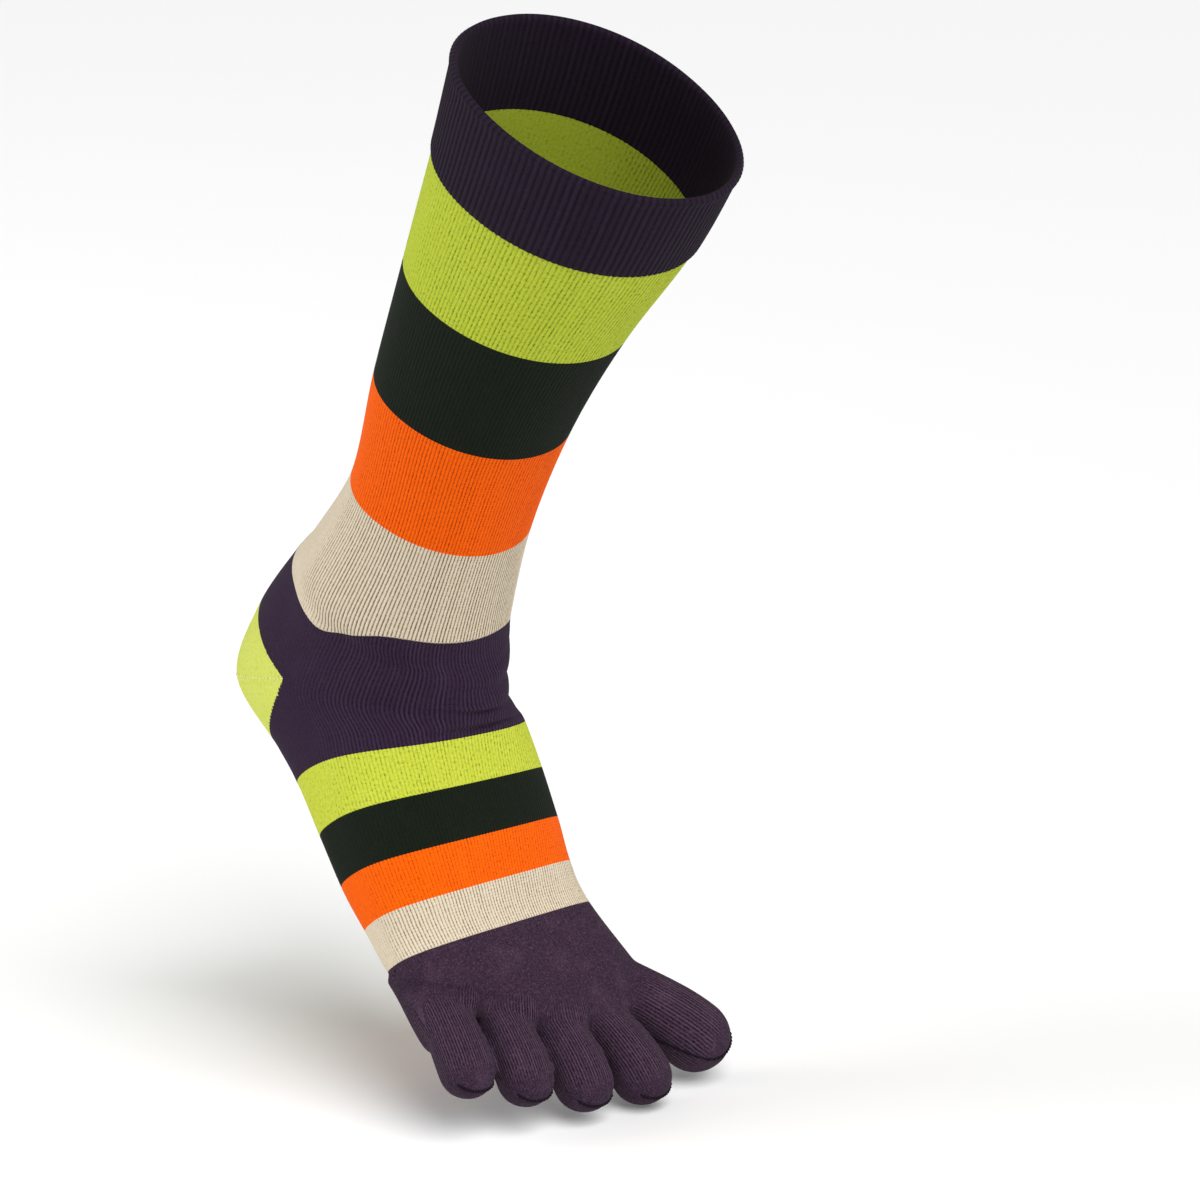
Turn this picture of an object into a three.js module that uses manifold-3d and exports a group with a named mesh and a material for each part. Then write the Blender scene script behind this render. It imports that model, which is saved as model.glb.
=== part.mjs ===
// Toe sock: one knitted tube with five toe sleeves, in the shape that a leg with a raised heel gives it.
// Every length is in millimetres. The foot's frame has x towards the big toe, f forward from the heel's
// back and h up from the sole. One group turns that frame upright, with the cuff's mouth at the origin.
import * as THREE from 'three';
import { mergeVertices } from 'three/addons/utils/BufferGeometryUtils.js';
import Module from 'manifold-3d';

const wasm = await Module();
wasm.setup();

// Driving sizes of the leg and foot that the sock fits
const FOOT_LENGTH = 250;
const BALL_WIDTH = 102;
const ANKLE_HEIGHT = 80;
const ANKLE_SETBACK = 52;
const ANKLE_DEPTH = 80;
const ANKLE_WIDTH = 84;
const CALF_DEPTH = 110.5;
const CALF_WIDTH = 99;

// Driving sizes of the sock
const SHIN_HEIGHT = 229;
const CUFF_HEIGHT = 36.5;
const KNIT_WALL = 1.5;
const CUFF_WALL = 2.4;
const RIM_ROLL = 0.6;
const PIECE_GAP = 0.3;

// Pose of the foot and shin
const HEEL_RAISE = THREE.MathUtils.degToRad(38.5);
const SHIN_LEAN = THREE.MathUtils.degToRad(9.9);
const SHIN_TILT = THREE.MathUtils.degToRad(2.1);

// Fineness of the lofts
const AROUND = 32;
const AROUND_TOE = 16;

// Knitted colours
const PLUM = 0x3a2740;
const LIME = 0xbfc940;
const DARK_GREEN = 0x1e2a20;
const ORANGE = 0xef660c;
const BEIGE = 0xd2c3a8;
const YARN = { roughness: 0.95, metalness: 0 };

// Sections square to the shin, from the cuff's mouth down to the ankle.
// up: share of the leg below the cuff. front, back: shares of the depth. half: share of the width.
const PLAIN_LEG = SHIN_HEIGHT - CUFF_HEIGHT;
const CALF = { depth: CALF_DEPTH, width: CALF_WIDTH };
const ANKLE = { depth: ANKLE_DEPTH, width: ANKLE_WIDTH };
const LEG_SECTIONS = [
  { at: 'mouth', up: SHIN_HEIGHT / PLAIN_LEG, of: CALF, front: 0.516, back: 0.484, half: 0.5, round: 2.1 },
  { at: 'cuff edge', up: 1, of: CALF, front: 0.471, back: 0.43, half: 0.49, round: 2.1 },
  { at: 'lime to green', up: 0.753, of: CALF, front: 0.362, back: 0.403, half: 0.439, round: 2 },
  { at: 'green to orange', up: 0.496, of: CALF, front: 0.299, back: 0.362, half: 0.394, round: 2 },
  { at: 'orange to beige', up: 0.26, of: ANKLE, front: 0.419, back: 0.45, half: 0.435, round: 1.85 },
  { at: 'beige to plum', up: 0.052, of: ANKLE, front: 0.488, back: 0.54, half: 0.49, round: 1.8 },
];

// Sections of the foot, from the ankle's fold to the webs between the toes.
// frontF, backF, sweep: shares of the foot's length. frontH, backH: shares of the ankle's height.
// half, centre: shares of the ball's width. roof, round: powers of the top's and the sole's curve.
// bow: how far the sides stay behind a straight section, a share of the foot's length.
// skew: how far the big toe's side leads, per length across. sweep draws the little toe's side back.
// tilt: share of the shin's tilt that the section follows.
const FOOT_SECTIONS = [
  { at: 'ankle fold', frontF: 0.388, frontH: 1.09, backF: 0.012, backH: 0.775, half: 0.38, centre: 0.02,
    roof: 2.05, round: 1.8, bow: 0, skew: 0, sweep: 0, tilt: 0.8 },
  { at: 'heel', frontF: 0.41, frontH: 1.01, backF: 0.014, backH: 0.363, half: 0.38, centre: 0.025,
    roof: 2.1, round: 2.1, bow: 0.004, skew: 0.01, sweep: 0, tilt: 0.5 },
  { at: 'heel floor', frontF: 0.424, frontH: 0.95, backF: 0.072, backH: 0.015, half: 0.387, centre: 0.035,
    roof: 2.2, round: 2.6, bow: 0.024, skew: 0.03, sweep: 0, tilt: 0 },
  { at: 'arch', frontF: 0.431, frontH: 0.9, backF: 0.236, backH: 0.025, half: 0.405, centre: 0.022,
    roof: 2.3, round: 2.8, bow: 0.03, skew: 0.05, sweep: 0, tilt: 0 },
  { at: 'plum to lime', frontF: 0.44, frontH: 0.848, backF: 0.326, backH: 0.06, half: 0.438, centre: 0.015,
    roof: 2.4, round: 3, bow: 0.028, skew: 0.07, sweep: 0, tilt: 0 },
  { at: 'lime to green', frontF: 0.5, frontH: 0.75, backF: 0.422, backH: 0.05, half: 0.46, centre: -0.012,
    roof: 2.4, round: 3, bow: 0.018, skew: 0.06, sweep: 0, tilt: 0 },
  { at: 'green to orange', frontF: 0.571, frontH: 0.648, backF: 0.507, backH: 0.025, half: 0.468,
    centre: -0.037, roof: 2.4, round: 3, bow: 0.014, skew: 0.045, sweep: 0, tilt: 0 },
  { at: 'orange to beige', frontF: 0.629, frontH: 0.528, backF: 0.582, backH: 0.01, half: 0.463,
    centre: -0.046, roof: 2.5, round: 3, bow: 0.01, skew: 0.03, sweep: 0, tilt: 0 },
  { at: 'beige to plum', frontF: 0.688, frontH: 0.42, backF: 0.652, backH: 0, half: 0.472, centre: -0.039,
    roof: 2.6, round: 3, bow: 0.006, skew: 0.02, sweep: 0, tilt: 0 },
  { at: 'toe line', frontF: 0.816, frontH: 0.36, backF: 0.792, backH: 0.013, half: 0.502, centre: -0.027,
    roof: 2.6, round: 2.8, bow: 0, skew: 0.02, sweep: 0.115, tilt: 0 },
  { at: 'webs', frontF: 0.846, frontH: 0.32, backF: 0.832, backH: 0.04, half: 0.48, centre: -0.015,
    roof: 2.5, round: 2.6, bow: 0, skew: 0.02, sweep: 0.133, tilt: 0 },
];
const WEB_ROUNDING = 0.02 * FOOT_LENGTH;
const SWEEP_POWER = 1.2;

// Dents, bones and folds. row: place along the sections, counted from the mouth's as 0. angle: degrees round
// the section from the front, towards the big toe. deep: share of the ankle's depth, below zero for a bump.
const DENTS = [
  { at: 'outer ankle bone', row: 6.1, angle: -97, alongRows: 0.45, aroundDegrees: 15, deep: -0.03 },
  { at: 'inner ankle bone', row: 5.6, angle: 94, alongRows: 0.45, aroundDegrees: 15, deep: -0.03 },
  { at: 'outer hollow by the tendon', row: 4.7, angle: -138, alongRows: 0.7, aroundDegrees: 17, deep: 0.018 },
  { at: 'inner hollow by the tendon', row: 4.7, angle: 138, alongRows: 0.7, aroundDegrees: 17, deep: 0.018 },
  { at: 'upper crease fold', row: 5.85, angle: 8, alongRows: 0.22, aroundDegrees: 42, deep: 0.012 },
  { at: 'middle crease fold', row: 6.9, angle: 12, alongRows: 0.28, aroundDegrees: 46, deep: 0.015 },
  { at: 'lower crease fold', row: 8.2, angle: 16, alongRows: 0.4, aroundDegrees: 42, deep: 0.012 },
  { at: 'dent over the little toe', row: 14.7, angle: -52, alongRows: 0.4, aroundDegrees: 15, deep: 0.018 },
];

// Toe sleeves. x and width: shares of the ball's width. f: share of the foot's length.
// h and tall: shares of the ankle's height. Each sleeve starts past the webs, at its share called sleeve.
const TOES = [
  { name: 'big_toe', rootX: 0.335, rootF: 0.79, rootH: 0.16, tipX: 0.604, tipF: 0.974, tipH: 0.155,
    width: 0.28, tall: 0.31, arch: 0.035, sleeve: 0.47 },
  { name: 'second_toe', rootX: 0.165, rootF: 0.81, rootH: 0.155, tipX: 0.2, tipF: 1, tipH: 0.14,
    width: 0.218, tall: 0.27, arch: 0.05, sleeve: 0.45 },
  { name: 'third_toe', rootX: -0.02, rootF: 0.79, rootH: 0.15, tipX: -0.068, tipF: 0.976, tipH: 0.12,
    width: 0.218, tall: 0.26, arch: 0.05, sleeve: 0.5 },
  { name: 'fourth_toe', rootX: -0.205, rootF: 0.745, rootH: 0.145, tipX: -0.29, tipF: 0.934, tipH: 0.11,
    width: 0.206, tall: 0.25, arch: 0.045, sleeve: 0.52 },
  { name: 'little_toe', rootX: -0.385, rootF: 0.695, rootH: 0.135, tipX: -0.492, tipF: 0.888, tipH: 0.1,
    width: 0.206, tall: 0.235, arch: 0.03, sleeve: 0.5 },
];

// Form shared by the toe sleeves. power: how square a section is. end: length of the round tip per half
// width. endPower: fullness of the tip. waist: how much the toe narrows away from its pad, at share pad.
const TOE_FORM = { power: 2.3, end: 1.05, endPower: 2.4, waist: 0.06, pad: 0.72, wave: 5.2 };

// Heel pocket: a wedge of the ankle's knit behind the gore points, where its two edges meet
const HEEL = { goreF: 0.19, goreH: 0.487, floorF: 0.236, backH: 0.45 };

// The beige stripe's lower edge, in rows: lower round the back than in front. It turns down over some degrees
// at each ankle bone, and dips at the outer one.
const BEIGE_EDGE = {
  front: -0.08, behind: 1.05, outerTurn: 71, outerOver: 16, innerTurn: 58, innerOver: 24,
  dip: 0.2, dipAngle: -86, dipSpread: 10,
};

const degrees = THREE.MathUtils.degToRad;
const bell = (distance, spread) => Math.exp(-((distance / spread) ** 2));

function legSection(row) {
  const up = row.up * PLAIN_LEG;
  const along = { f: -Math.sin(SHIN_LEAN), h: Math.cos(SHIN_LEAN) };
  const forward = { f: along.h, h: -along.f };
  const f = ANKLE_SETBACK + up * along.f;
  const h = ANKLE_HEIGHT + up * along.h;
  const front = row.front * row.of.depth;
  const back = row.back * row.of.depth;
  return {
    frontF: f + front * forward.f,
    frontH: h + front * forward.h,
    backF: f - back * forward.f,
    backH: h - back * forward.h,
    half: row.half * row.of.width,
    centre: 0, widest: 0.48, roof: 2.05, round: row.round, bow: 0, skew: 0, sweep: 0, tilt: 1,
  };
}

function footSection(row) {
  return {
    frontF: row.frontF * FOOT_LENGTH,
    frontH: row.frontH * ANKLE_HEIGHT,
    backF: row.backF * FOOT_LENGTH,
    backH: row.backH * ANKLE_HEIGHT,
    half: row.half * BALL_WIDTH,
    centre: row.centre * BALL_WIDTH,
    widest: 0.49, roof: row.roof, round: row.round,
    bow: row.bow * FOOT_LENGTH, skew: row.skew, sweep: row.sweep * FOOT_LENGTH, tilt: row.tilt,
  };
}

const SECTIONS = [...LEG_SECTIONS.map(legSection), ...FOOT_SECTIONS.map(footSection)];
const rowOf = (name, foot = true) => foot
  ? LEG_SECTIONS.length + FOOT_SECTIONS.findIndex((row) => row.at === name)
  : LEG_SECTIONS.findIndex((row) => row.at === name);
const LAST_ROW = SECTIONS.length - 1;

// A smooth section between two rows
function sectionAt(place) {
  const t = THREE.MathUtils.clamp(place, 0, LAST_ROW);
  const low = Math.min(Math.floor(t), LAST_ROW - 1);
  const share = t - low;
  const before = SECTIONS[Math.max(low - 1, 0)];
  const after = SECTIONS[Math.min(low + 2, LAST_ROW)];
  const section = {};
  for (const key of Object.keys(SECTIONS[0])) {
    const a = SECTIONS[low][key];
    const b = SECTIONS[low + 1][key];
    const level = key === 'sweep' && a === 0;
    const slopeA = level ? 0 : (low > 0 ? (b - before[key]) / 2 : b - a);
    const levelNext = key === 'sweep' && b === 0;
    const slopeB = levelNext ? 0 : (low < LAST_ROW - 1 ? (after[key] - a) / 2 : b - a);
    const cube = 2 * a - 2 * b + slopeA + slopeB;
    const square = -3 * a + 3 * b - 2 * slopeA - slopeB;
    section[key] = ((cube * share + square) * share + slopeA) * share + a;
  }
  return section;
}

// A point of the smooth body, x, f and h, before its dents
function bodyPoint(place, angle) {
  const section = sectionAt(place);
  const c = Math.cos(angle);
  const s = Math.sin(angle);
  const power = c > 0 ? section.roof : section.round;
  const radius = (Math.abs(c) ** power + Math.abs(s) ** power) ** (-1 / power);
  const lean = radius * c;
  const t = section.widest + (lean > 0 ? 1 - section.widest : section.widest) * lean;
  const across = radius * s;
  const swept = across < 0 ? section.sweep * (-across) ** SWEEP_POWER : 0;
  const back = swept + section.bow * 4 * t * (1 - t) - section.skew * section.half * across;
  const point = new THREE.Vector3(
    section.half * across + section.centre,
    section.backF + t * (section.frontF - section.backF) - back,
    section.backH + t * (section.frontH - section.backH),
  );
  return tilted(point, section.tilt);
}

// Tips a point about the ankle towards the little toe, by a share of the shin's tilt
function tilted(point, share) {
  const ankle = new THREE.Vector3(0, 0, ANKLE_HEIGHT);
  return point.sub(ankle).applyAxisAngle(new THREE.Vector3(0, 1, 0), -SHIN_TILT * share).add(ankle);
}

function dentDepth(place, angle) {
  let depth = 0;
  for (const dent of DENTS) {
    const turn = THREE.MathUtils.euclideanModulo(angle - degrees(dent.angle) + Math.PI, 2 * Math.PI);
    const round = turn - Math.PI;
    depth += dent.deep * ANKLE_DEPTH * bell(place - dent.row, dent.alongRows)
      * bell(round, degrees(dent.aroundDegrees));
  }
  return depth;
}

// A point of the knit's skin, moved out along the skin's own direction by a length
const NUDGE = 0.01;
function skinPoint(place, angle, out = 0) {
  const point = bodyPoint(place, angle);
  const low = Math.min(place, LAST_ROW - NUDGE);
  const along = bodyPoint(low + NUDGE, angle).sub(bodyPoint(low, angle));
  const around = bodyPoint(place, angle + NUDGE).sub(bodyPoint(place, angle - NUDGE));
  const normal = around.cross(along).normalize();
  return point.addScaledVector(normal, out - dentDepth(place, angle));
}

// One ring of skin points, at a row or at a row for each angle
function ring(place, out, sides = AROUND) {
  return Array.from({ length: sides }, (_, i) => {
    const angle = (2 * Math.PI * i) / sides;
    return skinPoint(typeof place === 'function' ? place(angle) : place, angle, out);
  });
}

// Triangles that zigzag across a ring from its big toe side, which also suits a flat bent ring
function lidFaces(sides) {
  let left = Math.round(sides / 4);
  let right = left + 1;
  return Array.from({ length: sides - 2 }, (_, step) => {
    const next = step % 2 ? right + 1 : left - 1;
    const face = [left, right, next].map((i) => (i + sides) % sides);
    if (step % 2) right = next;
    else left = next;
    return face;
  });
}

// Closed mesh from rings: a tube wall where the list runs out and back in, else a solid with two lids
function closedMesh(rings, { lids }) {
  const sides = rings[0].length;
  const points = rings.flat();
  const faces = [];
  const count = rings.length;
  for (let r = 0; r < (lids ? count - 1 : count); r += 1) {
    const next = (r + 1) % count;
    for (let i = 0; i < sides; i += 1) {
      const j = (i + 1) % sides;
      faces.push(r * sides + i, r * sides + j, next * sides + i);
      faces.push(r * sides + j, next * sides + j, next * sides + i);
    }
  }
  if (lids) {
    for (const [a, b, c] of lidFaces(sides)) {
      const far = (count - 1) * sides;
      faces.push(b, a, c, far + a, far + b, far + c);
    }
  }
  return solidGeometry(points, faces);
}

// The sock's axes in the group: x across, y backwards, z up from the sole. Faces are turned to point out.
function solidGeometry(points, faces) {
  const spots = points.map((p) => new THREE.Vector3(p.x, -p.y, p.z));
  let volume = 0;
  for (let i = 0; i < faces.length; i += 3) {
    volume += spots[faces[i]].dot(spots[faces[i + 1]].clone().cross(spots[faces[i + 2]]));
  }
  const order = volume < 0 ? faces.toReversed() : faces;
  const geometry = new THREE.BufferGeometry();
  geometry.setAttribute('position', new THREE.Float32BufferAttribute(spots.flatMap((p) => p.toArray()), 3));
  geometry.setIndex(order);
  return geometry;
}

function toManifold(geometry) {
  const merged = mergeVertices(geometry, 1e-5);
  return new wasm.Manifold(new wasm.Mesh({
    numProp: 3,
    vertProperties: new Float32Array(merged.attributes.position.array),
    triVerts: new Uint32Array(merged.index.array),
  }));
}

function fromManifold(manifold) {
  const mesh = manifold.getMesh();
  const geometry = new THREE.BufferGeometry();
  geometry.setAttribute('position', new THREE.Float32BufferAttribute(mesh.vertProperties, 3));
  geometry.setIndex([...mesh.triVerts]);
  return geometry;
}

const steps = (count) => Array.from({ length: count + 1 }, (_, i) => i / count);

// A knitted band between two edges, each a row or a function of the angle. profile: the skin's height
// over the plain knit at shares down the band; one value each for the outside and the inside.
function bandRings(top, bottom, { outside, inside, wall = KNIT_WALL, proud = () => 0 }) {
  const edge = (line, angle) => (typeof line === 'function' ? line(angle) : line);
  const between = (share) => (angle) => edge(top, angle) + share * (edge(bottom, angle) - edge(top, angle));
  const outer = steps(outside).map((share) => ring(between(share), proud(share)));
  const inner = steps(inside).reverse().map((share) => ring(between(share), proud(0.5) - wall));
  return [...outer, ...inner];
}

// Rows between two bands keep half the piece gap on each side, measured along the shortest side
function gapRows(row) {
  const reach = (angle) => {
    const above = bodyPoint(row - NUDGE, angle);
    return bodyPoint(row + NUDGE, angle).distanceTo(above) / (2 * NUDGE);
  };
  const shortest = Math.min(...Array.from({ length: AROUND }, (_, i) => reach((2 * Math.PI * i) / AROUND)));
  return PIECE_GAP / 2 / shortest;
}

const sock = new THREE.Group();
function addPiece(name, geometry, colour) {
  const bare = new THREE.BufferGeometry();
  bare.setAttribute('position', geometry.attributes.position);
  bare.setIndex(geometry.index);
  bare.computeVertexNormals();
  const mesh = new THREE.Mesh(bare, new THREE.MeshStandardMaterial({ color: colour, ...YARN }));
  mesh.name = name;
  sock.add(mesh);
}

// Cuff: doubled rib knit, a little proud of the leg, with a rolled top edge
const cuffEdge = rowOf('cuff edge', false);
const cuffProud = (share) => {
  const roll = RIM_ROLL * bell(share - 0.05, 0.06);
  const corner = share === 0 ? -RIM_ROLL : 0;
  return CUFF_WALL - KNIT_WALL + roll + corner;
};
addPiece('cuff', closedMesh(bandRings(0, cuffEdge - gapRows(cuffEdge), {
  outside: 6, inside: 2, wall: CUFF_WALL, proud: cuffProud,
}), { lids: false }), PLUM);

// Straight stripes of the leg and the foot, from one row to another
const STRIPES = [
  { name: 'leg_lime', top: 1, bottom: 2, colour: LIME, outside: 3, inside: 2 },
  { name: 'leg_dark_green', top: 2, bottom: 3, colour: DARK_GREEN, outside: 3, inside: 2 },
  { name: 'leg_orange', top: 3, bottom: 4, colour: ORANGE, outside: 3, inside: 2 },
  { name: 'foot_lime', top: 10, bottom: 11, colour: LIME, outside: 2, inside: 1 },
  { name: 'foot_dark_green', top: 11, bottom: 12, colour: DARK_GREEN, outside: 2, inside: 1 },
  { name: 'foot_orange', top: 12, bottom: 13, colour: ORANGE, outside: 2, inside: 1 },
  { name: 'foot_beige', top: 13, bottom: 14, colour: BEIGE, outside: 2, inside: 1 },
];
for (const stripe of STRIPES) {
  const rings = bandRings(stripe.top + gapRows(stripe.top), stripe.bottom - gapRows(stripe.bottom), stripe);
  addPiece(stripe.name, closedMesh(rings, { lids: false }), stripe.colour);
}

// Leg's beige stripe, whose lower edge dips at the sides, and the plum ankle below it
const beigeTop = rowOf('orange to beige', false);
const beigeBottom = rowOf('beige to plum', false);
const footTop = rowOf('plum to lime');
const turned = (past, over) => 1 / (1 + Math.exp((-2 * past) / over));
const dippedEdge = (shift) => (angle) => {
  const side = THREE.MathUtils.radToDeg(THREE.MathUtils.euclideanModulo(angle + Math.PI, 2 * Math.PI)) - 180;
  const outer = turned(-side - BEIGE_EDGE.outerTurn, BEIGE_EDGE.outerOver);
  const inner = turned(side - BEIGE_EDGE.innerTurn, BEIGE_EDGE.innerOver);
  const dip = BEIGE_EDGE.dip * bell(side - BEIGE_EDGE.dipAngle, BEIGE_EDGE.dipSpread);
  return beigeBottom + shift + BEIGE_EDGE.front + BEIGE_EDGE.behind * Math.max(outer, inner) + dip;
};
const beigeGap = gapRows(beigeBottom + 0.5);
addPiece('leg_beige', closedMesh(bandRings(beigeTop + gapRows(beigeTop), dippedEdge(-beigeGap), {
  outside: 5, inside: 3,
}), { lids: false }), BEIGE);

const ankleKnit = toManifold(closedMesh(bandRings(dippedEdge(beigeGap), footTop - gapRows(footTop), {
  outside: 13, inside: 7,
}), { lids: false }));

// The wedge that parts the heel pocket from the ankle, grown by a gap on both its faces
function heelWedge(grow) {
  const gore = { f: HEEL.goreF * FOOT_LENGTH, h: HEEL.goreH * ANKLE_HEIGHT };
  const floor = { f: HEEL.floorF * FOOT_LENGTH, h: 0 };
  const back = { f: 0, h: HEEL.backH * ANKLE_HEIGHT };
  const reach = FOOT_LENGTH;
  const far = (to) => {
    const length = Math.hypot(to.f - gore.f, to.h - gore.h);
    const scale = reach / length;
    return { f: gore.f + (to.f - gore.f) * scale, h: gore.h + (to.h - gore.h) * scale };
  };
  const corners = [gore, far(back), far(floor)].map((corner, i) => ({
    f: corner.f + (i === 1 ? 0 : grow),
    h: corner.h + (i === 2 ? 0 : grow),
  }));
  const rings = [-BALL_WIDTH, BALL_WIDTH].map((x) => corners.map((c) => new THREE.Vector3(x, c.f, c.h)));
  return toManifold(closedMesh(rings, { lids: true }));
}
addPiece('ankle', fromManifold(ankleKnit.subtract(heelWedge(PIECE_GAP))), PLUM);
addPiece('heel_pocket', fromManifold(ankleKnit.intersect(heelWedge(0))), LIME);

// A toe's rings from one share of its length to another; a share of 1 closes on the sleeve's round end
function toeRings(toe, from, to, inset, count) {
  const root = new THREE.Vector3(toe.rootX * BALL_WIDTH, toe.rootF * FOOT_LENGTH, toe.rootH * ANKLE_HEIGHT);
  const toeTip = new THREE.Vector3(toe.tipX * BALL_WIDTH, toe.tipF * FOOT_LENGTH, toe.tipH * ANKLE_HEIGHT);
  const knuckle = root.clone().lerp(toeTip, 0.5);
  knuckle.z += 2 * toe.arch * ANKLE_HEIGHT;
  const line = new THREE.QuadraticBezierCurve3(root, knuckle, toeTip);
  const halfWidth = (toe.width * BALL_WIDTH) / 2;
  const halfTall = (toe.tall * ANKLE_HEIGHT) / 2;
  const length = line.getLength();
  const endLength = halfWidth * TOE_FORM.end;
  const end = 1 - inset / length;
  return steps(count).map((step) => {
    const last = to >= 1;
    const share = last ? from + (end - from) * Math.sin((step * Math.PI) / 2) : from + (to - from) * step;
    const left = Math.max((end - share) * length, 0);
    const tip = left < endLength ? Math.max(1 - (1 - left / endLength) ** TOE_FORM.endPower, 0) : 1;
    const waist = 1 - TOE_FORM.waist * (1 - Math.cos((share - TOE_FORM.pad) * TOE_FORM.wave));
    const centre = line.getPoint(share);
    const forward = line.getTangent(share);
    const side = new THREE.Vector3(forward.y, -forward.x, 0).normalize();
    const lift = side.clone().cross(forward).normalize();
    const size = Math.max(Math.sqrt(tip), 0.02);
    return Array.from({ length: AROUND_TOE }, (_, i) => {
      const angle = (2 * Math.PI * i) / AROUND_TOE;
      const c = Math.cos(angle);
      const s = Math.sin(angle);
      const radius = (Math.abs(c) ** TOE_FORM.power + Math.abs(s) ** TOE_FORM.power) ** (-1 / TOE_FORM.power);
      return centre.clone()
        .addScaledVector(side, radius * s * (halfWidth * waist - inset) * size)
        .addScaledVector(lift, radius * c * (halfTall * waist - inset) * size);
    });
  });
}

// Toe sleeves: closed bags of knit, open at the web end
for (const toe of TOES) {
  const outer = toeRings(toe, toe.sleeve, 1, 0, 6);
  const inner = toeRings(toe, toe.sleeve, 1, KNIT_WALL, 4);
  addPiece(toe.name, closedMesh([...outer.reverse(), ...inner], { lids: false }), PLUM);
}

// Forefoot: the sock's front with a short stub for each toe, hollowed by the same shapes one wall smaller
const forefootTop = rowOf('beige to plum');
function forefootSolid(top, out) {
  const straight = steps(4).map((share) => ring(top + share * (LAST_ROW - top), out));
  const web = straight.at(-1);
  const middle = web.reduce((sum, p) => sum.add(p), new THREE.Vector3()).divideScalar(web.length);
  const forward = new THREE.Vector3(0, 1, 0);
  const rounded = [0.5, 1].map((share) => {
    const turn = (share * Math.PI) / 2;
    const reach = (WEB_ROUNDING + 2 * out) * Math.sin(turn);
    const open = Math.max(Math.cos(turn), 0.03);
    return web.map((p) => {
      const edge = new THREE.Vector3(p.x, p.y, middle.z);
      return edge.lerp(p, open).addScaledVector(forward, reach);
    });
  });
  return toManifold(closedMesh([...straight, ...rounded], { lids: true }));
}
let forefoot = forefootSolid(forefootTop + 2 * gapRows(forefootTop), 0);
let hollow = forefootSolid(forefootTop - 0.2, -KNIT_WALL);
for (const toe of TOES) {
  const gapShare = PIECE_GAP / (FOOT_LENGTH * (toe.tipF - toe.rootF));
  const stub = toeRings(toe, 0, toe.sleeve - gapShare, 0, 2);
  const bore = toeRings(toe, 0.06, toe.sleeve + 0.05, KNIT_WALL, 2);
  forefoot = forefoot.add(toManifold(closedMesh(stub, { lids: true })));
  hollow = hollow.add(toManifold(closedMesh(bore, { lids: true })));
}
addPiece('forefoot', fromManifold(forefoot.subtract(hollow)), PLUM);

// Upright pose: the heel is raised, and the middle of the cuff's mouth is the origin
const upright = new THREE.Group();
upright.rotation.x = HEEL_RAISE;
upright.add(sock);
const rim = sectionAt(0);
const mouth = tilted(new THREE.Vector3(0, (rim.frontF + rim.backF) / 2, (rim.frontH + rim.backH) / 2), 1);
sock.position.set(-mouth.x, mouth.y, -mouth.z);

export default upright;
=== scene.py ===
# %% [markdown]
# # Toe sock
# A knitted sock is one tube of loops. The columns of loops are called wales and the rows are called
# courses. The tube is turned at the heel and split into five small bags at the toes. This lesson
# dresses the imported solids: every colour gets a dense knitted shell that follows the same sections.

# %% Load the frame
import math

import bpy
import numpy as np
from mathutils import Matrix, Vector
from mathutils.bvhtree import BVHTree
from mathutils.kdtree import KDTree


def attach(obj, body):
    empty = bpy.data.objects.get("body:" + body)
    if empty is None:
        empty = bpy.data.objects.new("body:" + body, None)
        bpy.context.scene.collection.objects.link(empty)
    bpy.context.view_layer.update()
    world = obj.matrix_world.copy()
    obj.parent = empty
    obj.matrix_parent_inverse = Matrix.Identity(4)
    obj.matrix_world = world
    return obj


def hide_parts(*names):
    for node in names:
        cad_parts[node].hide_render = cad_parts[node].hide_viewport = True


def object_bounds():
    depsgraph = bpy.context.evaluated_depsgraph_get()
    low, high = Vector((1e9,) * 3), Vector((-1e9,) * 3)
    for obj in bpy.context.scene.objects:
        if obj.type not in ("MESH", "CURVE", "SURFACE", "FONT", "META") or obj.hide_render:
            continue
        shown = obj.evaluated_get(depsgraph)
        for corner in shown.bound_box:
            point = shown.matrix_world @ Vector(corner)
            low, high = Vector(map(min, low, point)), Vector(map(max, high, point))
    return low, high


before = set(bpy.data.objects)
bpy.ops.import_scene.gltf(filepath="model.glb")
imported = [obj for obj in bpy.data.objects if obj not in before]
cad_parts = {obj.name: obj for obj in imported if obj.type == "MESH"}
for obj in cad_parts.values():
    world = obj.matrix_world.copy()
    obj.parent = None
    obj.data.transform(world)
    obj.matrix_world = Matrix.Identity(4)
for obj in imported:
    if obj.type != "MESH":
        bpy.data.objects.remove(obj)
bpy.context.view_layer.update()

# %% [markdown]
# The sizes and the table of sections are the same as in the part's source, so that each shell lies on
# its solid. A section is an oval across the tube: its front and back points, its half width, and how
# square its two halves are. The places between two sections are joined by a smooth cubic curve.

# %% Sizes and sections, in millimetres
MM = 0.001
FOOT_LENGTH, BALL_WIDTH = 250, 102
ANKLE_HEIGHT, ANKLE_SETBACK, ANKLE_DEPTH, ANKLE_WIDTH = 80, 52, 80, 84
CALF_DEPTH, CALF_WIDTH = 110.5, 99
SHIN_HEIGHT, CUFF_HEIGHT = 229, 36.5
KNIT_WALL, CUFF_WALL, RIM_ROLL = 1.5, 2.4, 0.6
HEEL_RAISE, SHIN_LEAN, SHIN_TILT = math.radians(38.5), math.radians(9.9), math.radians(2.1)
PLAIN_LEG = SHIN_HEIGHT - CUFF_HEIGHT
CALF, ANKLE = (CALF_DEPTH, CALF_WIDTH), (ANKLE_DEPTH, ANKLE_WIDTH)

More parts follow.
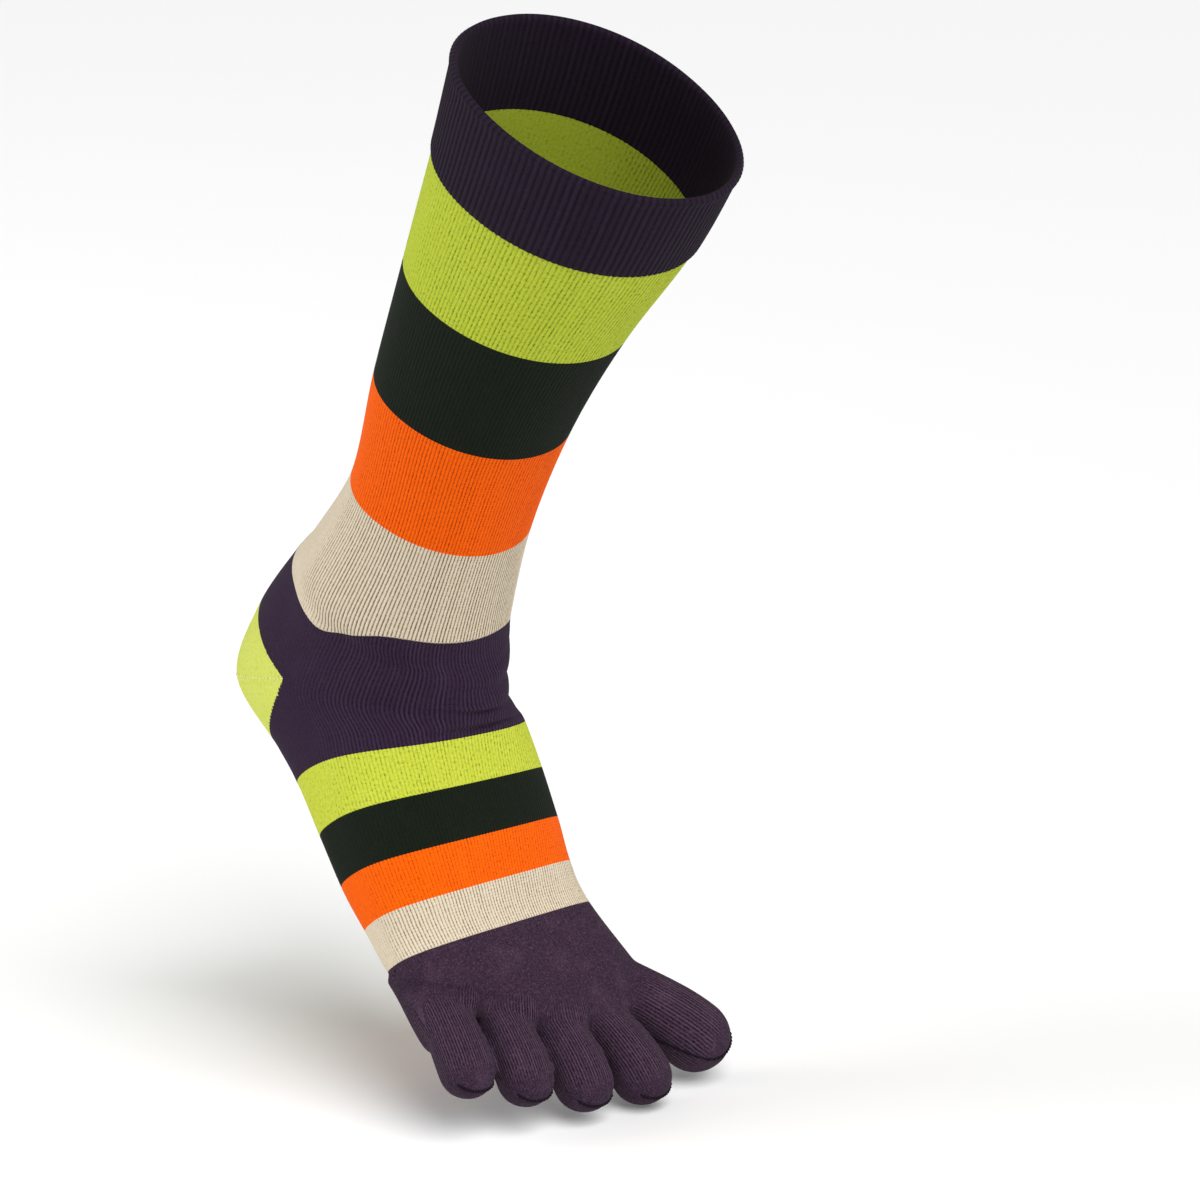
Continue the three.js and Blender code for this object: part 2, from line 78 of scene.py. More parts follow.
# up the leg, depth and width it is a share of, front, back, half width, roundness
LEG_SECTIONS = [
    (SHIN_HEIGHT / PLAIN_LEG, CALF, 0.516, 0.484, 0.5, 2.1),
    (1, CALF, 0.471, 0.43, 0.49, 2.1),
    (0.753, CALF, 0.362, 0.403, 0.439, 2),
    (0.496, CALF, 0.299, 0.362, 0.394, 2),
    (0.26, ANKLE, 0.419, 0.45, 0.435, 1.85),
    (0.052, ANKLE, 0.488, 0.54, 0.49, 1.8),
]
# front f and h, back f and h, half width, centre, roof, round, bow, skew, sweep, tilt
FOOT_SECTIONS = [
    (0.388, 1.09, 0.012, 0.775, 0.38, 0.02, 2.05, 1.8, 0, 0, 0, 0.8),
    (0.41, 1.01, 0.014, 0.363, 0.38, 0.025, 2.1, 2.1, 0.004, 0.01, 0, 0.5),
    (0.424, 0.95, 0.072, 0.015, 0.387, 0.035, 2.2, 2.6, 0.024, 0.03, 0, 0),
    (0.431, 0.9, 0.236, 0.025, 0.405, 0.022, 2.3, 2.8, 0.03, 0.05, 0, 0),
    (0.44, 0.848, 0.326, 0.06, 0.438, 0.015, 2.4, 3, 0.028, 0.07, 0, 0),
    (0.5, 0.75, 0.422, 0.05, 0.46, -0.012, 2.4, 3, 0.018, 0.06, 0, 0),
    (0.571, 0.648, 0.507, 0.025, 0.468, -0.037, 2.4, 3, 0.014, 0.045, 0, 0),
    (0.629, 0.528, 0.582, 0.01, 0.463, -0.046, 2.5, 3, 0.01, 0.03, 0, 0),
    (0.688, 0.42, 0.652, 0, 0.472, -0.039, 2.6, 3, 0.006, 0.02, 0, 0),
    (0.816, 0.36, 0.792, 0.013, 0.502, -0.027, 2.6, 2.8, 0, 0.02, 0.115, 0),
    (0.846, 0.32, 0.832, 0.04, 0.48, -0.015, 2.5, 2.6, 0, 0.02, 0.133, 0),
]
# the row where each colour ends
CUFF_EDGE, LIME_EDGE, GREEN_EDGE, ORANGE_EDGE, BEIGE_LINE = 1, 2, 3, 4, 5
INSTEP_EDGE, FOOT_LIME_EDGE, FOOT_GREEN_EDGE, FOOT_ORANGE_EDGE, TOE_BOX = 10, 11, 12, 13, 14
# where a section is widest, as a share of the way to its front, and how square the leg's front is
LEG_WIDEST, FOOT_WIDEST, LEG_ROOF = 0.48, 0.49, 2.05


def leg_row(up, size, front, back, half, roundness):
    """One section square to the shin: front f and h, back f and h, half width, centre, widest, roof,
    roundness, bow, skew, sweep and tilt."""
    depth, width = size
    along = (-math.sin(SHIN_LEAN), math.cos(SHIN_LEAN))
    f = ANKLE_SETBACK + up * PLAIN_LEG * along[0]
    h = ANKLE_HEIGHT + up * PLAIN_LEG * along[1]
    ahead = (along[1], -along[0])
    return [f + front * depth * ahead[0], h + front * depth * ahead[1],
            f - back * depth * ahead[0], h - back * depth * ahead[1],
            half * width, 0, LEG_WIDEST, LEG_ROOF, roundness, 0, 0, 0, 1]


def foot_row(ff, fh, bf, bh, half, centre, roof, roundness, bow, skew, sweep, tilt):
    """One section of the foot, in the same order."""
    return [ff * FOOT_LENGTH, fh * ANKLE_HEIGHT, bf * FOOT_LENGTH, bh * ANKLE_HEIGHT,
            half * BALL_WIDTH, centre * BALL_WIDTH, FOOT_WIDEST, roof, roundness,
            bow * FOOT_LENGTH, skew, sweep * FOOT_LENGTH, tilt]


ROWS = np.array([leg_row(*row) for row in LEG_SECTIONS] + [foot_row(*row) for row in FOOT_SECTIONS])
LAST_ROW = len(ROWS) - 1
print("sections:", len(ROWS))

# %% [markdown]
# A place along the sock is a row number with a fraction, and an angle turns round the tube from its
# front. Together they give one point: the place gives an oval, and the angle picks the spot on it.

# %% A point of the tube
SWEEP = 11
SWEEP_POWER = 1.2


def sections_at(place):
    """The section at each place, by the cubic curve through its neighbours."""
    place = np.clip(place, 0, LAST_ROW)
    low = np.minimum(place.astype(int), LAST_ROW - 1)
    t = (place - low)[..., None]
    a, b = ROWS[low], ROWS[low + 1]
    before, after = ROWS[np.maximum(low - 1, 0)], ROWS[np.minimum(low + 2, LAST_ROW)]
    slope_a = np.where((low > 0)[..., None], (b - before) / 2, b - a)
    slope_b = np.where((low < LAST_ROW - 1)[..., None], (after - a) / 2, b - a)
    slope_a[..., SWEEP] = np.where(a[..., SWEEP] == 0, 0, slope_a[..., SWEEP])
    slope_b[..., SWEEP] = np.where(b[..., SWEEP] == 0, 0, slope_b[..., SWEEP])
    cube = 2 * a - 2 * b + slope_a + slope_b
    square = -3 * a + 3 * b - 2 * slope_a - slope_b
    return ((cube * t + square) * t + slope_a) * t + a


def tilted(points, share):
    """Tips points about the ankle towards the little toe, by a share of the shin's tilt."""
    turn = -SHIN_TILT * share
    x, h = points[..., 0], points[..., 2] - ANKLE_HEIGHT
    side = x * np.cos(turn) + h * np.sin(turn)
    up = -x * np.sin(turn) + h * np.cos(turn) + ANKLE_HEIGHT
    return np.stack([side, points[..., 1], up], -1)


def tube_point(place, angle):
    """x, f and h on the smooth tube, before its dents."""
    (ff, fh, bf, bh, half, centre, widest, roof, roundness, bow, skew, sweep,
     tilt) = np.moveaxis(sections_at(place), -1, 0)
    c, s = np.cos(angle), np.sin(angle)
    power = np.where(c > 0, roof, roundness)
    radius = (np.abs(c) ** power + np.abs(s) ** power) ** (-1 / power)
    lean, across = radius * c, radius * s
    t = widest + np.where(lean > 0, 1 - widest, widest) * lean
    back = np.where(across < 0, sweep * np.abs(across) ** SWEEP_POWER, 0)
    back = back + bow * 4 * t * (1 - t) - skew * half * across
    points = np.stack([half * across + centre, bf + t * (ff - bf) - back, bh + t * (fh - bh)], -1)
    return tilted(points, tilt)


print("front and back of the rim in mm:", tube_point(np.zeros(2), np.array([0, np.pi])).round(1).tolist())

# %% [markdown]
# The foot pushes the knit out at the ankle bones, and the knit sinks beside the heel's tendon and folds
# over the front crease. These are the same soft dents that the solids have. The finer folds that
# follow them are only as deep as the yarn, so they live here.

# %% Dents of the solids and finer folds
# row, angle, rows along, degrees round, depth as a share of the ankle's depth
DENTS = [
    (6.1, -97, 0.45, 15, -0.03),
    (5.6, 94, 0.45, 15, -0.03),
    (4.7, -138, 0.7, 17, 0.018),
    (4.7, 138, 0.7, 17, 0.018),
    (5.85, 8, 0.22, 42, 0.012),
    (6.9, 12, 0.28, 46, 0.015),
    (8.2, 16, 0.4, 42, 0.012),
    (14.7, -52, 0.4, 15, 0.018),
]
# row, angle, rows along, degrees round, depth in mm, rows of drift per radian round
FOLDS = [
    (6.62, 0, 0.11, 20, 0.7, -0.35),
    (6.95, -4, 0.12, 22, -0.4, -0.3),
    (7.36, -12, 0.14, 25, 0.6, -0.15),
    (7.75, -2, 0.15, 20, -0.7, -0.6),
    (8.1, 2, 0.2, 22, 0.9, -0.8),
    (9.05, 6, 0.17, 22, -0.6, -0.3),
    (9.62, 12, 0.12, 22, 0.9, 0.15),
    (5.5, -25, 0.12, 32, 0.35, 0.1),
]


def angle_between(angle, centre):
    return np.mod(angle - centre + np.pi, 2 * np.pi) - np.pi


def dent_depth(place, angle):
    depth = np.zeros(np.broadcast(place, angle).shape)
    for row, at, along, around, deep in DENTS:
        turn = angle_between(angle, math.radians(at)) / math.radians(around)
        depth += deep * ANKLE_DEPTH * np.exp(-((place - row) / along) ** 2 - turn ** 2)
    return depth


def fold_depth(place, angle):
    depth = np.zeros(np.broadcast(place, angle).shape)
    for row, at, along, around, deep, drift in FOLDS:
        turn = angle_between(angle, math.radians(at))
        near = (place - row + drift * turn) / along
        depth += deep * np.exp(-near ** 2 - (turn / math.radians(around)) ** 2)
    return depth


print("dents:", len(DENTS), "folds:", len(FOLDS))

# %% [markdown]
# The skin is the tube with its dents pressed in, square to the knit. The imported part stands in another
# frame, with the heel raised and the cuff's mouth at the origin, so each mesh is turned upright last.

# %% Skin
NUDGE = 0.01


def unit(vectors):
    """The same directions at length 1."""
    return vectors / np.linalg.norm(vectors, axis=-1, keepdims=True)


def skin(place, angle, out):
    """A point of the knit, moved out by a length in mm along the skin's own direction."""
    place, angle, out = np.broadcast_arrays(place, angle, out)
    low = np.minimum(place, LAST_ROW - NUDGE)
    along = tube_point(low + NUDGE, angle) - tube_point(low, angle)
    around = tube_point(place, angle + NUDGE) - tube_point(place, angle - NUDGE)
    normal = unit(np.cross(around, along))
    return tube_point(place, angle) + normal * (out - dent_depth(place, angle))[..., None]


rim = ROWS[0]
mouth = tilted(np.array([0, (rim[0] + rim[2]) / 2, (rim[1] + rim[3]) / 2]), 1)


def upright(points):
    """From the foot's frame in mm to the row's frame in metres: heel raised, mouth at the origin."""
    x = points[..., 0] - mouth[0]
    y = mouth[1] - points[..., 1]
    z = points[..., 2] - mouth[2]
    cos, sin = math.cos(HEEL_RAISE), math.sin(HEEL_RAISE)
    return np.stack([x, y * cos - z * sin, y * sin + z * cos], -1) * MM


print("mouth of the cuff in the foot's frame:", mouth.round(1))

# %% [markdown]
# Loops are all the same width, so the wales are spaced evenly along each section, not evenly by angle.
# A table of arc lengths turns a wale number into the angle where that wale stands.

# %% Wales round the tube
WALES = 168
RIBS = WALES * 3 // 4
COURSE = 1.15  # mm from one course to the next
TABLE_PLACES = np.linspace(0, LAST_ROW, 321)
TABLE_SHARES = np.linspace(0, 1, 721)


def run_length(line):
    """The length along a line, or down each column of a grid, from its start to each point."""
    steps = np.linalg.norm(np.diff(line, axis=0), axis=-1)
    return np.concatenate([np.zeros((1, *steps.shape[1:])), np.cumsum(steps, axis=0)])


def ring(place):
    """A ring of points round the tube, closed, in even steps of angle."""
    return tube_point(np.full(len(TABLE_SHARES), place), 2 * np.pi * TABLE_SHARES)


def wale_table():
    table = []
    for place in TABLE_PLACES:
        length = run_length(ring(place))
        table.append(np.interp(TABLE_SHARES, length / length[-1], 2 * np.pi * TABLE_SHARES))
    return np.array(table)


WALE_ANGLES = wale_table()


def wale_angle(place, share):
    """The angle of the point at a share of the way round, at each place."""
    p = np.clip(place, 0, LAST_ROW) / LAST_ROW * (len(TABLE_PLACES) - 1)
    q = np.clip(share, 0, 1) * (len(TABLE_SHARES) - 1)
    i = np.minimum(p.astype(int), len(TABLE_PLACES) - 2)
    j = np.minimum(q.astype(int), len(TABLE_SHARES) - 2)
    u, v = p - i, q - j
    near = WALE_ANGLES[i, j] * (1 - v) + WALE_ANGLES[i, j + 1] * v
    far = WALE_ANGLES[i + 1, j] * (1 - v) + WALE_ANGLES[i + 1, j + 1] * v
    return near * (1 - u) + far * u


print("wale spacing at mid-leg in mm:", round(float(run_length(ring(GREEN_EDGE))[-1]) / WALES, 2))

# %% [markdown]
# Where two colours meet, each wale ends in its own small loop, so the edge is a row of tiny teeth. Both
# neighbours use one edge function, so that no gap opens between them.

# %% Edges between colours
TOOTH = 0.3  # mm
# front, behind, dip and tooth are in rows, the others in degrees round
BEIGE_EDGE = dict(front=-0.08, behind=1.05, outer_turn=71, outer_over=16, inner_turn=58, inner_over=24,
                  dip=0.2, dip_angle=-86, dip_spread=10, tooth=0.025)


def rows_per_mm(place):
    angles = np.linspace(0, 2 * np.pi, 33)[:-1]
    step = tube_point(np.full(32, place + NUDGE), angles) - tube_point(np.full(32, place - NUDGE), angles)
    return 2 * NUDGE / float(np.mean(np.linalg.norm(step, axis=-1)))


def teeth(share):
    return np.abs(np.mod(share * WALES, 1) - 0.5) * 2 - 0.5


def level_edge(row, tooth=TOOTH):
    scale = tooth * rows_per_mm(min(max(row, NUDGE), LAST_ROW - NUDGE))
    return lambda angle, share: row + scale * teeth(share)


def turned(past, over):
    """From 0 to 1 round a turning point, the softer the larger over is."""
    return 1 / (1 + np.exp(-2 * past / over))


def beige_edge(angle, share):
    """The leg's beige stripe ends lower behind than in front, and turns down at each ankle bone."""
    edge = BEIGE_EDGE
    side = np.degrees(angle_between(angle, 0))
    outer = turned(-side - edge["outer_turn"], edge["outer_over"])
    inner = turned(side - edge["inner_turn"], edge["inner_over"])
    dip = edge["dip"] * np.exp(-((side - edge["dip_angle"]) / edge["dip_spread"]) ** 2)
    behind = edge["behind"] * np.maximum(outer, inner)
    return BEIGE_LINE + edge["front"] + behind + dip + edge["tooth"] * teeth(share)


def plain_edge(row):
    return lambda angle, share: row + 0 * angle


print("a tooth at mid-leg in rows:", round(TOOTH * rows_per_mm(GREEN_EDGE), 3))

# %% [markdown]
# A shell starts as a grid between two edges, with more points than wales, so that each groove is real
# relief. Knit that is pulled tight shows its grooves, and slack knit hides them.

# %% Grids of knit
# limit, less and soft are in degrees, ankle, over and foot in rows
RIBBING = dict(limit=108, less=26, soft=12, ankle=5.4, over=0.8, foot=9.4, slack=0.25, back=0.2)


def ribbed(place, angle):
    """How strongly the wales stand out: the knit lies smoother round the back, from the ankle on round
    the sides too, and on the foot it is less stretched."""
    form = RIBBING
    side = np.degrees(np.abs(angle_between(angle, 0)))
    limit = form["limit"] - form["less"] * np.clip((place - form["ankle"]) / form["over"], 0, 1)
    stretch = 1 - form["slack"] * np.clip(place - form["foot"], 0, 1)
    return stretch * (form["back"] + (1 - form["back"]) * turned(limit - side, form["soft"]))


def wale_groove(share, count):
    """1 in the groove between two wales, 0 on the wale."""
    near = np.abs(np.mod(share * count, 1) - 0.5) * 2
    return np.clip((near - 0.35) / 0.65, 0, 1) ** 1.5


def knit_grid(top, bottom, columns, rings):
    """Places, angles and shares of a grid between two edges."""
    share = np.broadcast_to(np.arange(columns) / columns, (rings + 1, columns))
    down = np.linspace(0, 1, rings + 1)[:, None]
    place = np.full((rings + 1, columns), 0.0)
    angle = share * 2 * np.pi
    for _ in range(4):  # the edges depend on the angle and the angle on the place
        place = (1 - down) * top(angle, share) + down * bottom(angle, share)
        angle = wale_angle(place, share)
    return place, angle, share


def grid_faces(rings, columns):
    """The quads of a grid that runs round the tube."""
    index = np.arange((rings + 1) * columns).reshape(rings + 1, columns)
    right = np.roll(index, -1, axis=1)
    return np.stack([index[:-1], right[:-1], right[1:], index[1:]], -1).reshape(-1, 4)


print("rib strength in front and behind:", ribbed(GREEN_EDGE, np.array([0, np.pi])).round(2).tolist())

# %% [markdown]
# The wall is closed: the grid, the same grid one wall inside it, and a rim between them. The wale and
# course numbers go into a UV map, which is all that a yarn material needs to find each loop.

# %% Closed walls
def linked(name, data):
    """An object in the scene."""
    made = bpy.data.objects.new(name, data)
    bpy.context.scene.collection.objects.link(made)
    return made


def smooth_mesh(name, points, faces):
    """A smooth mesh with an empty map for its wale and course numbers."""
    mesh = bpy.data.meshes.new(name)
    mesh.from_pydata(points.tolist(), [], faces)
    mesh.uv_layers.new(name="knit")
    mesh.polygons.foreach_set("use_smooth", np.ones(len(mesh.polygons), bool))
    return mesh


def knit_mesh(name, points, faces, wale, course, rib, wrap):
    """A mesh with its wale and course numbers as a UV map and its rib strength as an attribute. The wales
    of a face that crosses the tube's start go on past the last one."""
    corners = np.array([corner for face in faces for corner in face])
    used = np.unique(corners)
    renumber = dict(zip(used.tolist(), range(len(used))))
    mesh = smooth_mesh(name, points[used], [[renumber[i] for i in face] for face in faces])
    wales, courses = wale[corners], course[corners]
    sizes = np.array([len(face) for face in faces])
    starts = np.concatenate([[0], np.cumsum(sizes)[:-1]])
    most, least = np.maximum.reduceat(wales, starts), np.minimum.reduceat(wales, starts)
    jump = np.repeat(most - least > wrap / 2, sizes)
    wales = np.where(jump & (wales < wrap / 2), wales + wrap, wales)
    numbers = np.stack([wales, courses], -1).astype(np.float32)
    mesh.uv_layers["knit"].data.foreach_set("uv", numbers.ravel())
    strength = mesh.attributes.new("rib", "FLOAT", "POINT")
    strength.data.foreach_set("value", rib[used].astype(np.float32))
    mesh.set_sharp_from_angle(angle=math.radians(60))
    print(name, "faces:", len(mesh.polygons))
    return linked(name, mesh)


def shell_mesh(name, faces, outer, inner, wale, course, rib, wrap=WALES):
    """A closed wall: the outer faces, the same faces inside turned round, and a rim along their border,
    which is every edge that isn't met again the other way round."""
    sides = faces.shape[1]
    edges = np.concatenate([faces[:, [i, (i + 1) % sides]] for i in range(sides)])
    span = len(outer)
    met = np.isin(edges[:, 0] * span + edges[:, 1], edges[:, 1] * span + edges[:, 0])
    border = edges[~met]
    rim = np.stack([border[:, 1], border[:, 0], border[:, 0] + span, border[:, 1] + span], -1)
    turned_over = [wall[:, ::-1].tolist() for wall in (faces, faces[:, ::-1] + span, rim)]
    points = upright(np.concatenate([outer, inner]))
    numbers = [np.tile(a, 2) for a in (wale, course, rib)]
    return knit_mesh(name, points, sum(turned_over, []), *numbers, wrap)


def courses_down(outer):
    """The course number of each point of a grid, by length down its wale."""
    return run_length(outer) / COURSE


def band(name, outer, inner, share, rib):
    """A shell from an outer and an inner grid."""
    faces = grid_faces(outer.shape[0] - 1, outer.shape[1])
    return shell_mesh(name, faces, outer.reshape(-1, 3), inner.reshape(-1, 3), (share * WALES).ravel(),
                      courses_down(outer).ravel(), rib.ravel())


print("closed walls ready, with", WALES, "wales round the tube")

# %% [markdown]
# Yarn is matt and a little fuzzy, and its pattern is worked out in the material. This helper wraps a
# node's socket, so that the pattern can be written as an ordinary sum.

# %% Sockets in sums
class Value:
    """A socket that takes part in sums."""

    def __init__(self, kit, socket):
        self.kit, self.socket = kit, socket

    def maths(self, operation, *others):
        return self.kit.node("ShaderNodeMath", {"operation": operation}, (self, *others))

    def __add__(self, other): return self.maths("ADD", other)
    __radd__ = __add__

    def __mul__(self, other): return self.maths("MULTIPLY", other)
    __rmul__ = __mul__

    def __sub__(self, other): return self.maths("SUBTRACT", other)

    def __rsub__(self, other): return self.maths("MULTIPLY", -1) + other

    def __truediv__(self, other): return self.maths("DIVIDE", other)

    def fraction(self): return self.maths("FRACT")

    def whole(self): return self.maths("FLOOR")

    def size(self): return self.maths("ABSOLUTE")

    def most(self, other): return self.maths("MAXIMUM", other)

    def ramp(self, low, high):
        """0 below low, 1 above high, and smooth between them."""
        settings = {"interpolation_type": "SMOOTHSTEP"}
        return self.kit.node("ShaderNodeMapRange", settings, {0: self, 1: low, 2: high})


print("a socket can be added, subtracted, multiplied and divided")

# %% [markdown]
# One class makes the nodes of a material. Every node comes from the same method, which takes the node's
# settings and what goes into its sockets, and gives its result back as a wrapped socket.

# %% Nodes of a yarn
class YarnShader:
    """The nodes of one material."""

    def __init__(self, name):
        self.material = bpy.data.materials.new(name)
        self.material.use_nodes = True
        self.tree = self.material.node_tree
        self.surface = self.tree.nodes["Principled BSDF"]

    def node(self, kind, settings=None, sockets=(), out=0):
        made = self.tree.nodes.new(kind)
        for key, setting in (settings or {}).items():
            setattr(made, key, setting)
        pairs = sockets.items() if isinstance(sockets, dict) else enumerate(sockets)
        for key, given in pairs:
            self.feed(made.inputs[key], given)
        return Value(self, made.outputs[out])

    def feed(self, socket, given):
        if isinstance(given, Value):
            self.tree.links.new(given.socket, socket)
        else:
            socket.default_value = given

    def mixed(self, share, first, second, blend="MIX"):
        settings = {"data_type": "RGBA", "blend_type": blend}
        return self.node("ShaderNodeMix", settings, {0: share, 6: first, 7: second}, out=2)

    def noise(self, scale, detail=2.0, roughness=0.5, where=None):
        place = where or self.node("ShaderNodeTexCoord", out=3)
        return self.node("ShaderNodeTexNoise", {"noise_dimensions": "3D"},
                         {"Vector": place, "Scale": scale, "Detail": detail, "Roughness": roughness})

    def split(self, vector):
        first = self.node("ShaderNodeSeparateXYZ", None, (vector,))
        return first, Value(self, first.socket.node.outputs[1])


def linear(red, green, blue):
    """A colour read as 0 to 255 on a screen, as Blender's linear colour."""
    def channel(value):
        value /= 255
        return value / 12.92 if value <= 0.04045 else ((value + 0.055) / 1.055) ** 2.4
    return (channel(red), channel(green), channel(blue), 1.0)


print("plum in linear light:", [round(part, 4) for part in linear(42, 27, 47)])

# %% [markdown]
# Each yarn mixes three colours: its own, the dark of the groove between two wales and the pale of loose
# fibre. The dark in the grooves and at the V of each loop is partly the darker yarn seen there and partly
# painted shade. The pale also serves as a painted highlight on the tops of the wales. The wale number gives
# the groove, and the wale and course numbers together give the small V of each loop. A bump follows the same
# pattern, so that light catches the loops.

# %% Yarn materials
FIBRE, FELTING, WANDER = 1500.0, 110.0, 260.0  # noise repeats per metre
LOOP_HEIGHT = 0.0005


def yarn(name, colour, groove, pale, depth=0.6, loops=0.35, fuzz=0.5, mottle=0.35, crest_highlight=0.0,
         wale_step=1):
    """Plain knit in one colour. groove is the colour between wales, partly the darker yarn there and partly
    painted shade, and pale is that of loose fibre and of the painted highlight on the tops of the wales.
    depth, loops, fuzz, mottle and the highlight on the crests say how strongly the grooves, loops, fibres,
    patches and the painted highlight on the tops of the wales show. wale_step is the number of wales in one
    rib."""
    colour, groove, pale = (linear(*tone) for tone in (colour, groove, pale))
    kit = YarnShader(name)
    stitches = kit.node("ShaderNodeUVMap", {"uv_map": "knit"})
    wale, course = kit.split(stitches)
    rib = kit.node("ShaderNodeAttribute", {"attribute_name": "rib"}, out=2)
    wander = kit.noise(WANDER, 1.0) - 0.5
    wale = wale / wale_step + wander * (0.16 / wale_step)
    across = (wale.fraction() - 0.5).size() * 2
    number = kit.node("ShaderNodeTexWhiteNoise", {"noise_dimensions": "1D"}, {"W": wale.whole()})
    loop = ((course + across * 0.5).fraction() - 0.5).size() * 2
    groove_yarn_and_shade = across.ramp(0.4, 0.95) * rib
    streak = kit.noise(1.1, 2.0, 0.6, kit.node("ShaderNodeMapping", None, {0: stitches, 3: (1.5, 0.8, 1)}))
    fine = kit.noise(FIBRE, 2.0, 0.6)
    coarse = kit.noise(FELTING, 3.0, 0.6)
    # The dark in the grooves between wales and at the V of each loop is partly the darker yarn seen there
    # and partly painted shade. The streaks are tone that differs at random.
    dark = groove_yarn_and_shade * (number * 0.3 + 0.62) * (1 + (loop - 0.7) * loops) * (streak * 1.1 + 0.4) * depth
    dark = dark + loop.ramp(0.6, 1.0) * (loops * 0.4) + streak.ramp(0.42, 0.8) * mottle
    tone = kit.mixed(dark.ramp(0.0, 1.25), colour, groove)
    loose = (fine - 0.46).most(0.0) * fuzz + (coarse - 0.5).most(0.0) * (fuzz * 0.5)
    tone = kit.mixed(loose + (0.44 - streak).most(0.0) * (fuzz * 1.6), tone, pale)
    # Painted highlight: the tops of the wales are mixed towards the pale colour.
    if crest_highlight:
        tone = kit.mixed((1 - across.ramp(0.1, 0.7)) * rib * (number + 0.5) * crest_highlight, tone, pale)
    kit.feed(kit.surface.inputs["Base Color"], tone)
    height = (1 - across * across * rib) * 0.55 + (1 - loop * loop) * (0.3 * loops) + fine * 0.25
    bump = kit.node("ShaderNodeBump", None, {"Strength": 0.6, "Distance": LOOP_HEIGHT, "Height": height})
    kit.feed(kit.surface.inputs["Normal"], bump)
    kit.surface.inputs["Roughness"].default_value = 0.92
    kit.surface.inputs["Sheen Weight"].default_value = 0.02
    kit.surface.inputs["Sheen Roughness"].default_value = 0.6
    kit.surface.inputs["Specular IOR Level"].default_value = 0.07
    return kit.material


plum_rib = yarn("plum rib", (29, 19, 32), (11, 6, 14), (58, 44, 66), depth=0.8, mottle=0.15,
                crest_highlight=0.15, wale_step=WALES / RIBS)
plum_knit = yarn("plum knit", (42, 27, 47), (11, 6, 14), (82, 62, 88), depth=1.1, mottle=0.3,
                 crest_highlight=0.22)
plum_felt = yarn("plum brushed knit", (45, 30, 46), (17, 10, 19), (104, 80, 100), depth=1.3, loops=0.1,
                 fuzz=1.1, mottle=0.7, crest_highlight=0.3)
lime_knit = yarn("lime knit", (190, 200, 60), (88, 100, 14), (220, 228, 120), depth=0.75, loops=0.15,
                 mottle=0.6)
# Painted shade: the leg's lime is a darker copy of the foot's lime, because the leg faces the light less
# than the top of the foot.
shaded_lime_knit = yarn("lime knit with painted shade", (176, 190, 52), (88, 104, 14), (210, 222, 112),
                      depth=0.75, loops=0.15, mottle=0.6)
heel_knit = yarn("pale lime heel knit", (199, 207, 92), (110, 122, 34), (228, 234, 152), depth=0.7,
                 loops=0.2, mottle=0.5)
green_knit = yarn("dark green knit", (18, 25, 16), (5, 9, 6), (38, 48, 36), depth=0.7)
orange_knit = yarn("orange knit", (238, 92, 0), (140, 30, 0), (252, 124, 20), depth=0.9, mottle=0.4)
beige_knit = yarn("beige knit", (210, 196, 172), (92, 74, 56), (238, 228, 212), depth=1.5, mottle=0.3)
seam_yarn = yarn("plum seam yarn", (22, 13, 24), (8, 4, 10), (60, 44, 60), depth=0.2)
gore_yarn = yarn("gore stitch yarn", (222, 226, 150), (130, 138, 40), (240, 242, 190), depth=0.2)
print("yarns:", len(bpy.data.materials))


def dress(piece, material, slot, *nodes):
    """Gives a piece its yarn, hangs it from the root body and hides the solids it stands for. slot is not
    used.
    """
    piece.data.materials.append(material)
    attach(piece, "root")
    if nodes:
        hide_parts(*nodes)
    return piece


# %% [markdown]
# The cuff is a doubled band of one-by-one rib. Every second wale sinks, which makes the cuff spring
# back. Its top is the fold of the double layer, so it is rolled, and it stands a little proud of the leg.

# %% Cuff
CUFF_RINGS = 26
RIM_TUCK, HEM_TUCK, RIB_DEPTH, LINING_RIB_DEPTH, CUFF_WAVE = 1.1, 0.45, 0.3, 0.12, 0.15  # mm


def cuff():
    place, angle, share = knit_grid(plain_edge(0.0), level_edge(CUFF_EDGE, 0.1), 6 * RIBS, CUFF_RINGS)
    down = np.linspace(0, 1, CUFF_RINGS + 1)[:, None]
    roll = RIM_ROLL * np.exp(-((down - 0.045) / 0.045) ** 2) - RIM_TUCK * np.exp(-(down / 0.016) ** 2)
    hem = HEM_TUCK * np.exp(-((down - 1) / 0.02) ** 2)
    calm = 1 - np.exp(-(down / 0.05) ** 2)
    relief = -RIB_DEPTH * wale_groove(share, RIBS) * calm
    wave = CUFF_WAVE * np.sin(3 * angle + 1.1) * np.sin(5 * down + 0.4)
    proud = CUFF_WALL - KNIT_WALL
    outer = skin(place, angle, proud + roll - hem + relief + wave)
    lining = -KNIT_WALL + 0.9 * np.exp(-(down / 0.02) ** 2) + 0 * angle
    inner = skin(place, angle, lining - LINING_RIB_DEPTH * wale_groove(share, RIBS) * calm)
    return band("ribbed_cuff", outer, inner, share, np.ones_like(angle))


dress(cuff(), plum_rib, "plum_knit", "cuff")

# %% [markdown]
# Each stripe of the leg is plain knit pulled over the calf, so the grooves between its wales open up in
# front and at the sides. The grooves are real relief, a sixth of a millimetre deep.

# %% Leg stripes
COLUMNS = 3 * WALES
CALF_GROOVE, DRAPE = 0.16, 0.1  # mm


def stripe(name, top, bottom, rings, groove):
    place, angle, share = knit_grid(top, bottom, COLUMNS, rings)
    rib = ribbed(place, angle)
    drape = DRAPE * np.sin(4 * angle + 2.2 * place) * np.sin(1.7 * place + 0.6)
    outer = skin(place, angle, drape - groove * rib * wale_groove(share, WALES)
                 - fold_depth(place, angle))
    inner = skin(place, angle, -KNIT_WALL + 0 * angle)
    return band(name, outer, inner, share, rib)


